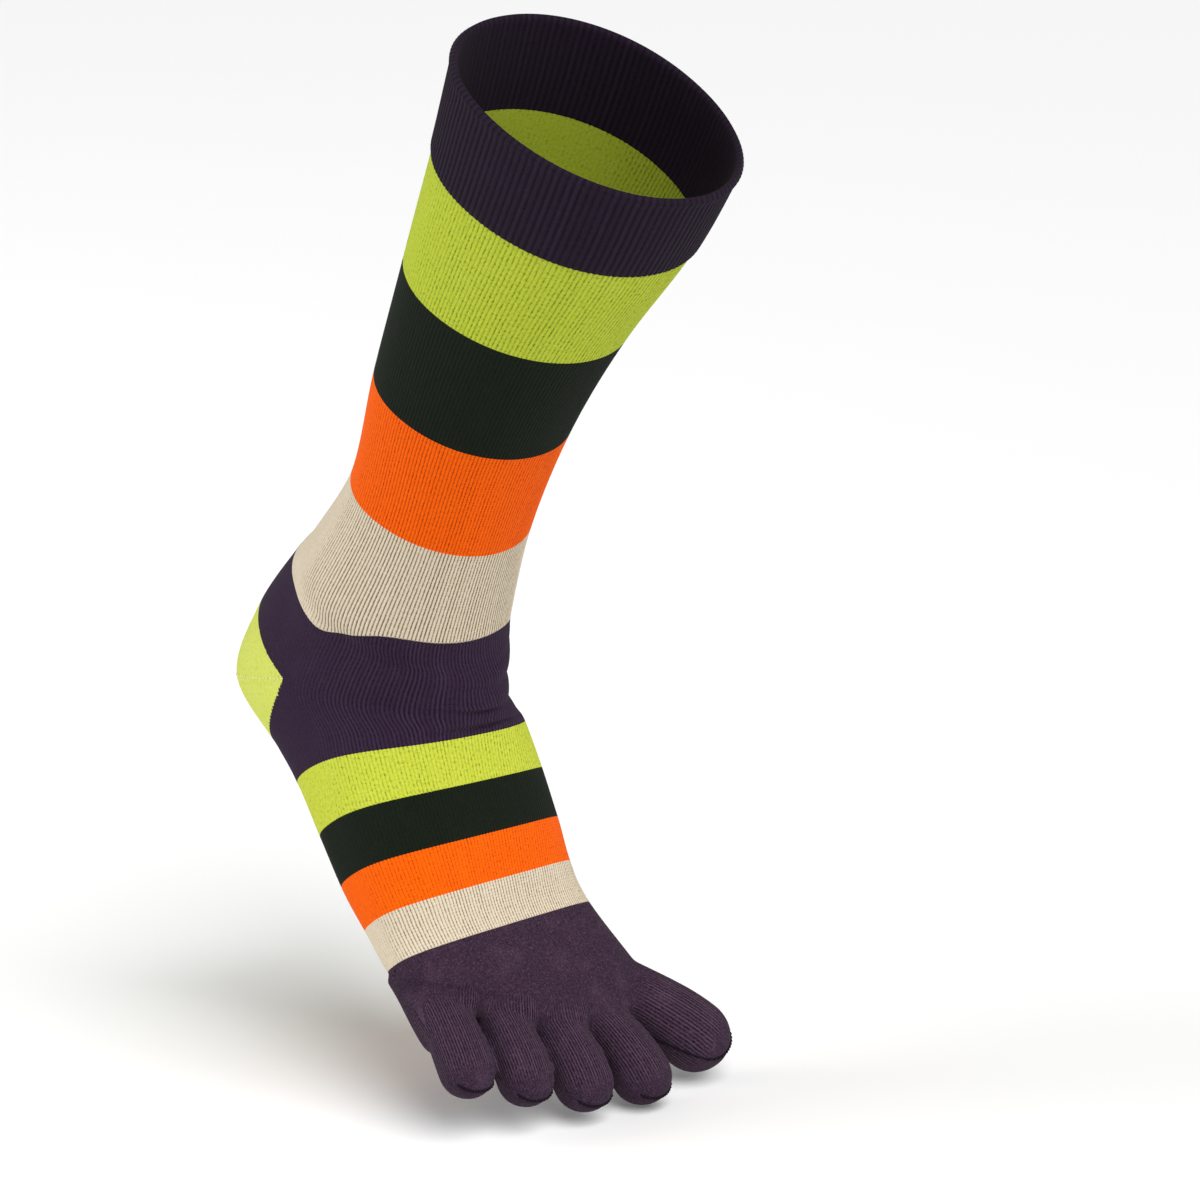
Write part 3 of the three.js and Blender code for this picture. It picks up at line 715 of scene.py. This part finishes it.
LEG_STRIPES = [
    ("lime_leg_stripe", level_edge(CUFF_EDGE), level_edge(LIME_EDGE), 16, shaded_lime_knit,
     "lime_knit", "leg_lime"),
    ("dark_green_leg_stripe", level_edge(LIME_EDGE), level_edge(GREEN_EDGE), 16, green_knit,
     "dark_green_knit", "leg_dark_green"),
    ("orange_leg_stripe", level_edge(GREEN_EDGE), level_edge(ORANGE_EDGE), 16, orange_knit,
     "orange_knit", "leg_orange"),
    ("beige_leg_stripe", level_edge(ORANGE_EDGE), beige_edge, 20, beige_knit, "beige_knit", "leg_beige"),
]
for name, top, bottom, rings, material, slot, node in LEG_STRIPES:
    dress(stripe(name, top, bottom, rings, CALF_GROOVE), material, slot, node)

# %% [markdown]
# The same four colours come back round the instep. The knit is pulled less there, so its grooves are
# shallower.

# %% Foot stripes
FOOT_GROOVE, FOOT_RINGS = 0.1, 11
FOOT_STRIPES = [
    ("lime_foot_stripe", INSTEP_EDGE, FOOT_LIME_EDGE, lime_knit, "lime_knit", "foot_lime"),
    ("dark_green_foot_stripe", FOOT_LIME_EDGE, FOOT_GREEN_EDGE, green_knit, "dark_green_knit",
     "foot_dark_green"),
    ("orange_foot_stripe", FOOT_GREEN_EDGE, FOOT_ORANGE_EDGE, orange_knit, "orange_knit", "foot_orange"),
    ("beige_foot_stripe", FOOT_ORANGE_EDGE, TOE_BOX, beige_knit, "beige_knit", "foot_beige"),
]
for name, top, bottom, material, slot, node in FOOT_STRIPES:
    dress(stripe(name, level_edge(top), level_edge(bottom), FOOT_RINGS, FOOT_GROOVE), material, slot, node)

# %% [markdown]
# The ankle and the heel pocket are knitted in one: the heel is turned with short rows, and a gore seam
# runs back from the point where they meet. One grid is made for both. On each wale the nearest grid point
# is moved onto the line between them, and each triangle then goes to the side that it lies on.

# %% Ankle and heel pocket
HEEL = dict(gore_f=0.19, gore_h=0.487, floor_f=0.236, back_h=0.45)
ANKLE_RINGS, ANKLE_COLUMNS, ANKLE_GROOVE = 124, 2 * WALES, 0.1
ANKLE_RIB, HEEL_RIB = 0.85, 0.4  # how strongly the wales stand out here
STEP_DEPTH, STEP_TURN = 0.4, 4.2  # the small steps along the heel's lower edge, in mm and radians per mm
GORE = np.array([HEEL["gore_f"] * FOOT_LENGTH, HEEL["gore_h"] * ANKLE_HEIGHT])


def heel_share(points):
    """How far inside the heel's wedge a point is, in mm; below zero is in the ankle."""
    back = np.array([0, HEEL["back_h"] * ANKLE_HEIGHT])
    floor = np.array([HEEL["floor_f"] * FOOT_LENGTH, 0])
    spot = points[..., 1:] - GORE

    def side(to, sign):
        line = (to - GORE) / np.linalg.norm(to - GORE)
        return sign * (line[0] * spot[..., 1] - line[1] * spot[..., 0])
    return np.minimum(side(back, 1), side(floor, -1) + STEP_DEPTH * np.sin(spot[..., 1] * STEP_TURN))


def snapped(place, share):
    """Places moved along each wale so that the nearest grid point lies on the edge of the heel."""
    angle = wale_angle(place, share)
    on_line = np.zeros(place.shape, bool)
    value = heel_share(tube_point(place, angle))
    step = place[1:] - place[:-1]
    cross = value[:-1] * value[1:] < 0
    part = np.where(cross, value[:-1] / np.where(cross, value[:-1] - value[1:], 1), 0)
    moved = place.copy()
    for r, c in zip(*np.nonzero(cross)):
        row = r if part[r, c] < 0.5 else r + 1
        moved[row, c] = place[r, c] + part[r, c] * step[r, c]
        on_line[row, c] = True
    return moved, on_line


def triangles(quads, on_line, value):
    """Triangles of the quads, cut along a diagonal that joins two points of the line."""
    marks = on_line.ravel()[quads]
    other = (marks[:, 1] & marks[:, 3])[:, None]
    first = np.where(other, quads[:, [0, 1, 3]], quads[:, [0, 1, 2]])
    second = np.where(other, quads[:, [1, 2, 3]], quads[:, [0, 2, 3]])
    faces = np.concatenate([first, second])
    level = np.where(on_line.ravel(), 0, value.ravel())
    return faces, level[faces].sum(1) > 0


def ankle_and_heel():
    place, angle, share = knit_grid(beige_edge, level_edge(INSTEP_EDGE), ANKLE_COLUMNS, ANKLE_RINGS)
    place, on_line = snapped(place, share)
    angle = wale_angle(place, share)
    value = heel_share(tube_point(place, angle))
    rib = ANKLE_RIB * ribbed(place, angle)
    outer = skin(place, angle, -fold_depth(place, angle) - ANKLE_GROOVE * rib * wale_groove(share, WALES))
    inner = skin(place, angle, -KNIT_WALL + 0 * angle).reshape(-1, 3)
    faces, in_heel = triangles(grid_faces(ANKLE_RINGS, ANKLE_COLUMNS), on_line, value)
    numbers = ((share * WALES).ravel(), courses_down(outer).ravel())
    spots = outer.reshape(-1, 3)
    return (shell_mesh("plum_ankle", faces[~in_heel], spots, inner, *numbers, rib.ravel()),
            shell_mesh("lime_heel_pocket", faces[in_heel], spots, inner, *numbers, HEEL_RIB * rib.ravel()))


ankle, heel = ankle_and_heel()
dress(ankle, plum_knit, "plum_knit", "ankle")
dress(heel, heel_knit, "lime_knit", "heel_pocket")

# %% [markdown]
# The toe bags grow out of the forefoot without an edge, and soft valleys lie between them. That is
# easiest to get from volumes: the forefoot and five rounded tubes are joined by a voxel remesh and
# smoothed, then the wale and course numbers are worked out again for each point.

# %% Toe tubes
# name: root x, f, h; tip x, f, h; width, tall, arch
TOES = {
    "big": (0.335, 0.79, 0.16, 0.604, 0.974, 0.155, 0.28, 0.31, 0.035),
    "second": (0.165, 0.81, 0.155, 0.2, 1, 0.14, 0.218, 0.27, 0.05),
    "third": (-0.02, 0.79, 0.15, -0.068, 0.976, 0.12, 0.218, 0.26, 0.05),
    "fourth": (-0.205, 0.745, 0.145, -0.29, 0.934, 0.11, 0.206, 0.25, 0.045),
    "little": (-0.385, 0.695, 0.135, -0.492, 0.888, 0.1, 0.206, 0.235, 0.03),
}


# the power of a toe's oval, the length of its round end as a share of the half width and the end's power,
# and how much narrower than its pad the toe is, where along it and how fast
TOE_FORM = dict(power=2.3, end=1.05, end_power=2.4, waist=0.06, pad=0.72, wave=5.2)


def middle_curve(share, root, knuckle, tip):
    s = share[..., None]
    return (1 - s) ** 2 * root + 2 * s * (1 - s) * knuckle + s ** 2 * tip


def toe_line(toe, share):
    """A toe's middle line at each share, its direction, its side and upward directions, and its length."""
    root = np.array([toe[0] * BALL_WIDTH, toe[1] * FOOT_LENGTH, toe[2] * ANKLE_HEIGHT])
    tip = np.array([toe[3] * BALL_WIDTH, toe[4] * FOOT_LENGTH, toe[5] * ANKLE_HEIGHT])
    knuckle = (root + tip) / 2
    knuckle[2] += 2 * toe[8] * ANKLE_HEIGHT
    s = share[..., None]
    centre = middle_curve(share, root, knuckle, tip)
    ahead = unit(2 * (1 - s) * (knuckle - root) + 2 * s * (tip - knuckle))
    length = float(run_length(middle_curve(np.linspace(0, 1, 41), root, knuckle, tip))[-1])
    side = unit(np.stack([ahead[..., 1], -ahead[..., 0], 0 * ahead[..., 0]], -1))
    lift = np.cross(side, ahead)
    return centre, ahead, side, lift, length


def length_of(toe):
    return toe_line(toe, np.zeros(1))[4]


def toe_point(toe, share, angle):
    """A point of a toe bag's skin."""
    share, angle = np.broadcast_arrays(np.asarray(share, float), angle)
    form = TOE_FORM
    centre, ahead, side, lift, length = toe_line(toe, share)
    half_width, half_tall = toe[6] * BALL_WIDTH / 2, toe[7] * ANKLE_HEIGHT / 2
    left = np.maximum((1 - share) * length, 0)
    end = half_width * form["end"]
    close = np.where(left < end, np.sqrt(1 - np.clip(1 - left / end, 0, 1) ** form["end_power"]), 1)
    waist = 1 - form["waist"] * (1 - np.cos((share - form["pad"]) * form["wave"]))
    c, s = np.cos(angle), np.sin(angle)
    radius = (np.abs(c) ** form["power"] + np.abs(s) ** form["power"]) ** (-1 / form["power"])
    size = np.maximum(close, 0.02) * radius * waist
    return centre + side * (size * s * half_width)[..., None] + lift * (size * c * half_tall)[..., None]


def closed_tube(rings):
    """Points and faces of a tube with flat ends, from rings of points."""
    count, sides = rings.shape[:2]
    first, last = list(range(sides)), list(range((count - 1) * sides, count * sides))
    return rings.reshape(-1, 3), grid_faces(count - 1, sides).tolist() + [first[::-1], last]


def round_the_tube(sides):
    """Even angles round a tube."""
    return np.arange(sides) / sides * 2 * np.pi


print("toe lengths in mm:", {name: round(length_of(toe), 1) for name, toe in TOES.items()})

# %% [markdown]
# The forefoot's own tube ends in a rounded web. One more tube stands for the knit that is stretched along
# the foot's outer side. The voxel remesh joins all seven, and the smoothing makes the soft valleys.

# %% Forefoot and toes in one piece
# from the ball to the little toe, in the same columns as a toe
SIDE_PAD = (-0.436, 0.66, 0.14, -0.451, 0.81, 0.115, 0.176, 0.225, 0.0)
WEB_ROUNDING = 0.02 * FOOT_LENGTH
VOXEL = 0.9
BODY_TOP = TOE_BOX - 0.35  # the joined tubes start inside the beige stripe and are cut at its end


def side_pad():
    return closed_tube(toe_point(SIDE_PAD, np.linspace(0.02, 0.999, 40)[:, None], round_the_tube(48)))


def forefoot_body():
    """The tube from the beige stripe to the webs, closed by a rounded end."""
    places = np.linspace(BODY_TOP, LAST_ROW, 36)
    rings = skin(places[:, None], round_the_tube(120), 0.0)
    web = rings[-1]
    level = web[:, 2].mean()
    for turn in np.radians([15, 30, 45, 60, 72, 82]):
        ring = web.copy()
        ring[:, 2] = level + (web[:, 2] - level) * math.cos(turn)
        ring[:, 1] += WEB_ROUNDING * math.sin(turn)
        rings = np.concatenate([rings, ring[None]])
    return closed_tube(rings)


def remeshed(parts, voxel):
    """The parts joined as volumes, as points and quads."""
    points, faces = [], []
    for spots, polygons in parts:
        start = sum(len(p) for p in points)
        points.append(spots)
        faces += [[i + start for i in polygon] for polygon in polygons]
    mesh = bpy.data.meshes.new("volumes")
    mesh.from_pydata(np.concatenate(points).tolist(), [], faces)
    block = linked("volumes", mesh)
    remesh = block.modifiers.new("voxels", "REMESH")
    remesh.mode, remesh.voxel_size, remesh.adaptivity = "VOXEL", voxel, 0
    smooth = block.modifiers.new("soften", "SMOOTH")
    smooth.factor, smooth.iterations = 0.5, 9
    made = block.evaluated_get(bpy.context.evaluated_depsgraph_get()).to_mesh()
    spots = np.empty(len(made.vertices) * 3)
    made.vertices.foreach_get("co", spots)
    quads = np.array([list(p.vertices) for p in made.polygons])
    bpy.data.objects.remove(block)
    return spots.reshape(-1, 3), quads


def toe_tubes():
    """The five tubes, with closer rings towards their tips."""
    shares = np.concatenate([np.linspace(0, 0.7, 24), 1 - 0.3 * np.linspace(1, 0, 26)[1:] ** 1.6])
    return [closed_tube(toe_point(toe, shares[:, None], round_the_tube(48))) for toe in TOES.values()]


points, quads = remeshed([forefoot_body(), *toe_tubes(), side_pad()], VOXEL)
print("joined forefoot: points", len(points), "faces", len(quads))

# %% [markdown]
# Every point is matched with the nearest spot of the smooth forefoot, for its place and wale. A point that
# is far enough along a toe takes its numbers from that toe instead, where the wales run along the toe.

# %% Wale numbers for the forefoot and toes
TOE_WALES = 60
TOE_REACH = 1.6  # how far from its middle line a toe claims a point, in half widths
TOE_START = 0.16  # the share of a toe's length where its own wales may start
FELT_RIB = 0.12
RIB_FROM, RIB_TO = (0.2, 0.14), (0.9, 0.12)  # where a toe's wales come up and fade, and over how long
COURSES_A_ROW = 34 / COURSE


def nearest(grid, points):
    """The number of the grid spot that lies nearest to each point."""
    tree = KDTree(len(grid))
    for i, spot in enumerate(grid):
        tree.insert(spot, i)
    tree.balance()
    return np.array([tree.find(spot)[1] for spot in points])


def forefoot_numbers(points):
    """For each point: its place, its angle and its share of the way round the forefoot."""
    places = np.linspace(BODY_TOP, LAST_ROW, 90)
    shares = np.arange(320) / 320
    place, share = np.meshgrid(places, shares, indexing="ij")
    angle = wale_angle(place, share)
    hit = nearest(skin(place, angle, 0.0).reshape(-1, 3).tolist(), points.tolist())
    return place.ravel()[hit], angle.ravel()[hit], share.ravel()[hit]


def toe_numbers(points):
    """For each point: the toe that holds it, or -1, its length along and its angle round the toe."""
    owner = np.full(len(points), -1)
    best = np.full(len(points), TOE_REACH)
    along, around = np.zeros(len(points)), np.zeros(len(points))
    for k, toe in enumerate(TOES.values()):
        samples = np.linspace(0, 1.0, 61)
        centre, ahead, side, lift, length = toe_line(toe, samples)
        gap = np.linalg.norm(points[:, None] - centre[None], axis=-1)
        at = gap.argmin(axis=1)
        spot = points - centre[at]
        wide = (spot * side[at]).sum(-1) / (toe[6] * BALL_WIDTH / 2)
        tall = (spot * lift[at]).sum(-1) / (toe[7] * ANKLE_HEIGHT / 2)
        ahead_of = (spot * ahead[at]).sum(-1)
        far = np.hypot(wide, tall)
        share = samples[at] + ahead_of / length
        mine = (far < best) & (share > TOE_START)
        best[mine], owner[mine] = far[mine], k
        # above the toe the wales stay side by side instead of fanning out
        height = np.where(tall > 0, np.minimum(tall, np.sqrt(np.clip(1.05 - wide ** 2, 0.0025, None))), tall)
        along[mine], around[mine] = share[mine] * length, np.arctan2(wide, height)[mine]
    return owner, along, around


place, angle, share = forefoot_numbers(points)
owner, along, around = toe_numbers(points)
on_toe = owner >= 0
wale = np.where(on_toe, np.mod(around / (2 * np.pi), 1) * TOE_WALES, share * WALES)
course = np.where(on_toe, along / COURSE, (place - TOE_BOX) * COURSES_A_ROW)
toe_length = np.array([length_of(toe) for toe in TOES.values()])
toe_share = np.where(on_toe, along / toe_length[owner], 0)
come, fade = (toe_share - RIB_FROM[0]) / RIB_FROM[1], (RIB_TO[0] - toe_share) / RIB_TO[1]
rib = np.clip(come, 0, 1) * np.clip(fade, 0, 1)
rib = np.where(on_toe, rib, FELT_RIB)
print("points on toes:", int(on_toe.sum()))

# %% [markdown]
# The joined skin starts inside the beige stripe, so the part before that stripe's end is cut away. The
# first half millimetre tucks in under the stripe, and a lining lies inside.

# %% Forefoot shell
TOE_LINING = 1.1  # mm
TUCK, TUCK_END, TUCK_ROWS = 0.35, TOE_BOX + 0.03, 0.05
CUT_PLACE = TOE_BOX - 0.04


def forefoot_shell():
    """The joined skin, cut where the beige stripe ends, with a lining inside it."""
    faces = quads[place[quads].mean(axis=1) > CUT_PLACE]
    flat = points[faces]
    normal = np.cross(flat[:, 2] - flat[:, 0], flat[:, 3] - flat[:, 1])
    normals = np.zeros_like(points)
    for corner in range(4):
        np.add.at(normals, faces[:, corner], normal)
    normals /= np.maximum(np.linalg.norm(normals, axis=1, keepdims=True), 1e-9)
    tuck = np.clip((TUCK_END - place) / TUCK_ROWS, 0, 1) * TUCK
    outer = points - normals * tuck[:, None]
    return shell_mesh("forefoot_and_toes", faces, outer, points - normals * TOE_LINING, wale, course, rib,
                      wrap=TOE_WALES)


dress(forefoot_shell(), plum_felt, "plum_knit",
      "forefoot", "big_toe", "second_toe", "third_toe", "fourth_toe", "little_toe")

# %% [markdown]
# Each toe bag is closed by a linked seam across the end of the toe, a little above its tip. It shows as
# a dark welt that is thicker at each stitch. A beaded tube is laid on the joined skin for it.

# %% Seam tubes
def beaded_tube(name, line, radius, bead, stitches):
    """A tube along a line of points, thick at each stitch and thin between, and pointed at both ends."""
    sides = 8
    tangent = unit(np.gradient(line, axis=0))
    first = unit(np.cross(tangent, np.array([0.1, 0.3, 1.0])))
    second = np.cross(tangent, first)
    run = np.linspace(0, 1, len(line))
    thick = radius * (1 + bead * np.cos(2 * np.pi * stitches * run)) * np.sqrt(np.clip(
        np.minimum(run, 1 - run) / 0.04, 0.05, 1))
    turn = round_the_tube(sides)
    rings = (line[:, None] + (np.cos(turn)[None, :, None] * first[:, None]
             + np.sin(turn)[None, :, None] * second[:, None]) * thick[:, None, None])
    return linked(name, smooth_mesh(name, *closed_tube(rings)))


skin_tree = BVHTree.FromPolygons(points.tolist(), quads.tolist())


def laid(line, lift):
    """A line drawn onto the joined skin, lifted off it by a length in mm."""
    spots = []
    for spot in line:
        hit, normal, _, _ = skin_tree.find_nearest(Vector(spot))
        away = np.array(normal)
        spots.append(np.array(hit) + away * lift * np.sign(away @ (np.array(hit) - points.mean(0))))
    spots = np.array(spots)
    for _ in range(3):
        spots[1:-1] = (spots[:-2] + 2 * spots[1:-1] + spots[2:]) / 4
    return spots


print("skin for the seams: faces", len(quads))

# %% [markdown]
# A seam's line is found on the toe's own round end: how far a spot lies from the middle tells how far
# back from the tip it is. On the big toe the seam goes on along the side that faces the second toe.

# %% Toe seams
SEAM_RADIUS, SIDE_SEAM_RADIUS = 0.58, 0.45  # mm


def seam_over(toe, rise, reach):
    """A line across a toe's end. rise is its height over the tip and reach how far it goes to each side,
    as shares of the toe's half height and half width."""
    side = np.linspace(-reach, reach, 81)
    up = rise * (1 - 0.35 * side ** 2)
    power = TOE_FORM["power"]
    size = np.minimum((np.abs(side) ** power + np.abs(up) ** power) ** (1 / power), 0.999)
    half_width = toe[6] * BALL_WIDTH / 2
    left = half_width * TOE_FORM["end"] * (1 - (1 - size ** 2) ** (1 / TOE_FORM["end_power"]))
    return toe_point(toe, 1 - left / length_of(toe), np.arctan2(side, up))


def seam_along(toe, shares, turns):
    """A line along a toe's side, between two shares of its length and two angles from its top."""
    return toe_point(toe, np.linspace(*shares, 90), np.radians(np.linspace(*turns, 90)))


for name, toe in TOES.items():
    rise, reach = (0.52, 0.9) if name == "big" else (0.42, 0.8)
    line = laid(seam_over(toe, rise, reach), 0.05)
    seam = beaded_tube(name + "_toe_seam", upright(line), SEAM_RADIUS * MM, 0.3, 15)
    dress(seam, seam_yarn, "plum_knit")

line = laid(seam_along(TOES["big"], (0.4, 0.83), (-98, -68)), 0.0)
side_seam = beaded_tube("big_toe_side_seam", upright(line), SIDE_SEAM_RADIUS * MM, 0.25, 24)
dress(side_seam, seam_yarn, "plum_knit")
print("toe seams:", len(TOES) + 1)

# %% [markdown]
# The heel's gore seam is a line of holes with a pale stitch between them. Small flattened beads stand
# for the stitches, on both sides of the heel.

# %% Gore stitches
def stitch_row(name, spots, directions, normals, length, width, material, slot):
    """One mesh of small flattened beads along a seam, with their length and width in mm."""
    all_points, all_faces = [], []
    turns = round_the_tube(8)
    bands = np.radians([-90, -50, -15, 15, 50, 90])
    for spot, ahead, normal in zip(spots, directions, normals):
        side = np.cross(normal, ahead)
        rings = np.array([[spot + ahead * length / 2 * math.sin(b)
                           + (side * math.cos(t) * width / 2 + normal * math.sin(t) * width / 2.6)
                           * max(math.cos(b), 0.05) for t in turns] for b in bands])
        points, faces = closed_tube(rings)
        start = len(all_points) * len(points)
        all_points.append(points)
        all_faces += [[i + start for i in face] for face in faces]
    print(name + ":", len(spots))
    row = smooth_mesh(name, upright(np.concatenate(all_points)), all_faces)
    return dress(linked(name, row), material, slot)


GORE_SLOPE = 1.2
HEEL_PLACES = np.linspace(5.8, 9.4, 181)
STITCH_LIFT = 0.1  # mm


def gore_line(turns):
    """Where the heel is cut by the slanting plane through both gore points, at each angle."""
    spots = []
    for turn in turns:
        line = skin(HEEL_PLACES, np.full(len(HEEL_PLACES), turn), STITCH_LIFT)
        above = line[:, 2] - GORE[1] - GORE_SLOPE * (line[:, 1] - GORE[0])
        at = int(np.argmin(np.abs(above)))
        spots.append(line[at])
    return np.array(spots)


def evenly(line, pitch):
    """Spots along a line at an even pitch in mm, with their directions."""
    length = run_length(line)
    at = np.linspace(0, length[-1], int(length[-1] / pitch))
    spots = np.stack([np.interp(at, length, line[:, k]) for k in range(3)], -1)
    return spots, unit(np.gradient(spots, axis=0))


cut = gore_line(np.radians(np.linspace(40, 320, 561)))
seam_line = cut[cut[:, 1] < GORE[0]]
spots, ahead = evenly(seam_line, 2.3)
centre = np.array([seam_line[:, 0].mean(), *GORE])
outward = spots - centre
outward -= (outward * ahead).sum(1, keepdims=True) * ahead
stitch_row("gore_stitches", spots, ahead, unit(outward), 1.4, 0.75, gore_yarn, "lime_knit")

# %% [markdown]
# The short end of another seam shows where the beige stripe meets the forefoot, on the little toe's side.

# %% Side seam stitches
seam_place = TOE_BOX + np.linspace(0.08, 0.34, 40)
seam_turn = np.radians(np.linspace(-97, -126, 40))
spots, ahead = evenly(skin(seam_place, seam_turn, STITCH_LIFT), 1.7)
outward = skin(seam_place[:1], seam_turn[:1], 1.0) - skin(seam_place[:1], seam_turn[:1], 0.0)
outward = np.repeat(outward, len(spots), axis=0)
stitch_row("side_seam_stitches", spots, ahead, outward, 1.1, 0.8, seam_yarn, "plum_knit")

# %% [markdown]
# The photograph looks at the sock from in front, on the little toe's side and a little above it, with a
# long lens. The target is a spot at the middle of the shin, and AIM says where in the square frame it
# lies, a little lower than in the photograph, so that the whole rim shows.

# %% Camera
AZIMUTH, ELEVATION, DISTANCE = math.radians(-45.9), math.radians(14.94), 1.7
FRAME_SIDE, PIXELS_PER_METRE, AIM = 1200, 2717, (456.6, 430.6)
SENSOR = 36
backward = Vector((math.sin(AZIMUTH) * math.cos(ELEVATION), -math.cos(AZIMUTH) * math.cos(ELEVATION),
                   math.sin(ELEVATION)))
rightward = Vector((math.cos(AZIMUTH), math.sin(AZIMUTH), 0))
upward = backward.cross(rightward)
target = Vector((0.00828, 0.08158, -0.13033))
lens = bpy.data.cameras.new("camera")
lens.sensor_width = SENSOR
lens.lens = PIXELS_PER_METRE * DISTANCE / FRAME_SIDE * SENSOR
lens.clip_start = 0.05
camera = linked("camera", lens)
offset = rightward * (AIM[0] - FRAME_SIDE / 2) + upward * (FRAME_SIDE / 2 - AIM[1])
camera.location = target - offset / PIXELS_PER_METRE + backward * DISTANCE
camera.rotation_euler = backward.to_track_quat("Z", "Y").to_euler()
bpy.context.scene.camera = camera
print("camera at", camera.location, "lens", round(lens.lens, 1))

# %% [markdown]
# The studio is white paper under a broad soft light from the front, with a softbox behind on the left
# and a weak one in front. The floor lies just under the lowest toe.

# %% Floor and light
FLOOR_GAP, FLOOR_REACH = 0.0015, 14.0
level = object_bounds()[0][2] - FLOOR_GAP
corners = [(x * FLOOR_REACH, y * FLOOR_REACH, level) for x, y in ((-1, -1), (1, -1), (1, 1), (-1, 1))]
floor_mesh = bpy.data.meshes.new("floor")
floor_mesh.from_pydata(corners, [], [(0, 1, 2, 3)])
floor = linked("floor", floor_mesh)
paper = YarnShader("white paper")
grain = paper.noise(35.0, 2.0)
paper.feed(paper.surface.inputs["Base Color"],
           paper.mixed(grain * 0.2, (0.95, 0.95, 0.95, 1), (0.92, 0.92, 0.92, 1)))
paper.surface.inputs["Roughness"].default_value = 0.9
floor_mesh.materials.append(paper.material)


def lamp(name, kind, light_from, power):
    """A light that shines from a direction."""
    light = bpy.data.lights.new(name, kind)
    light.energy = power
    made = linked(name, light)
    made.rotation_euler = light_from.to_track_quat("Z", "Y").to_euler()
    return made, light


def softbox(name, place, aim, size, power):
    made, light = lamp(name, "AREA", Vector(place) - Vector(aim), power)
    light.shape, light.size = "DISK", size
    made.location = place


MIDDLE = (0.0, 0.06, -0.2)
softbox("left", (-1.4, 1.5, 0.5), MIDDLE, 1.0, 20)
softbox("front", (-0.9, -1.7, 0.9), MIDDLE, 1.4, 3)
broad = lamp("ceiling", "SUN", Vector((-0.12, -0.72, 0.85)), 2.9)[1]
broad.angle = math.radians(55)
world = bpy.data.worlds.new("white studio")
world.use_nodes = True
world.node_tree.nodes["Background"].inputs["Color"].default_value = (1, 1, 1, 1)
world.node_tree.nodes["Background"].inputs["Strength"].default_value = 0.28
bpy.context.scene.world = world
bpy.context.scene.view_settings.view_transform = "Standard"
print("lights:", len(bpy.data.lights), "floor at", round(level, 4))
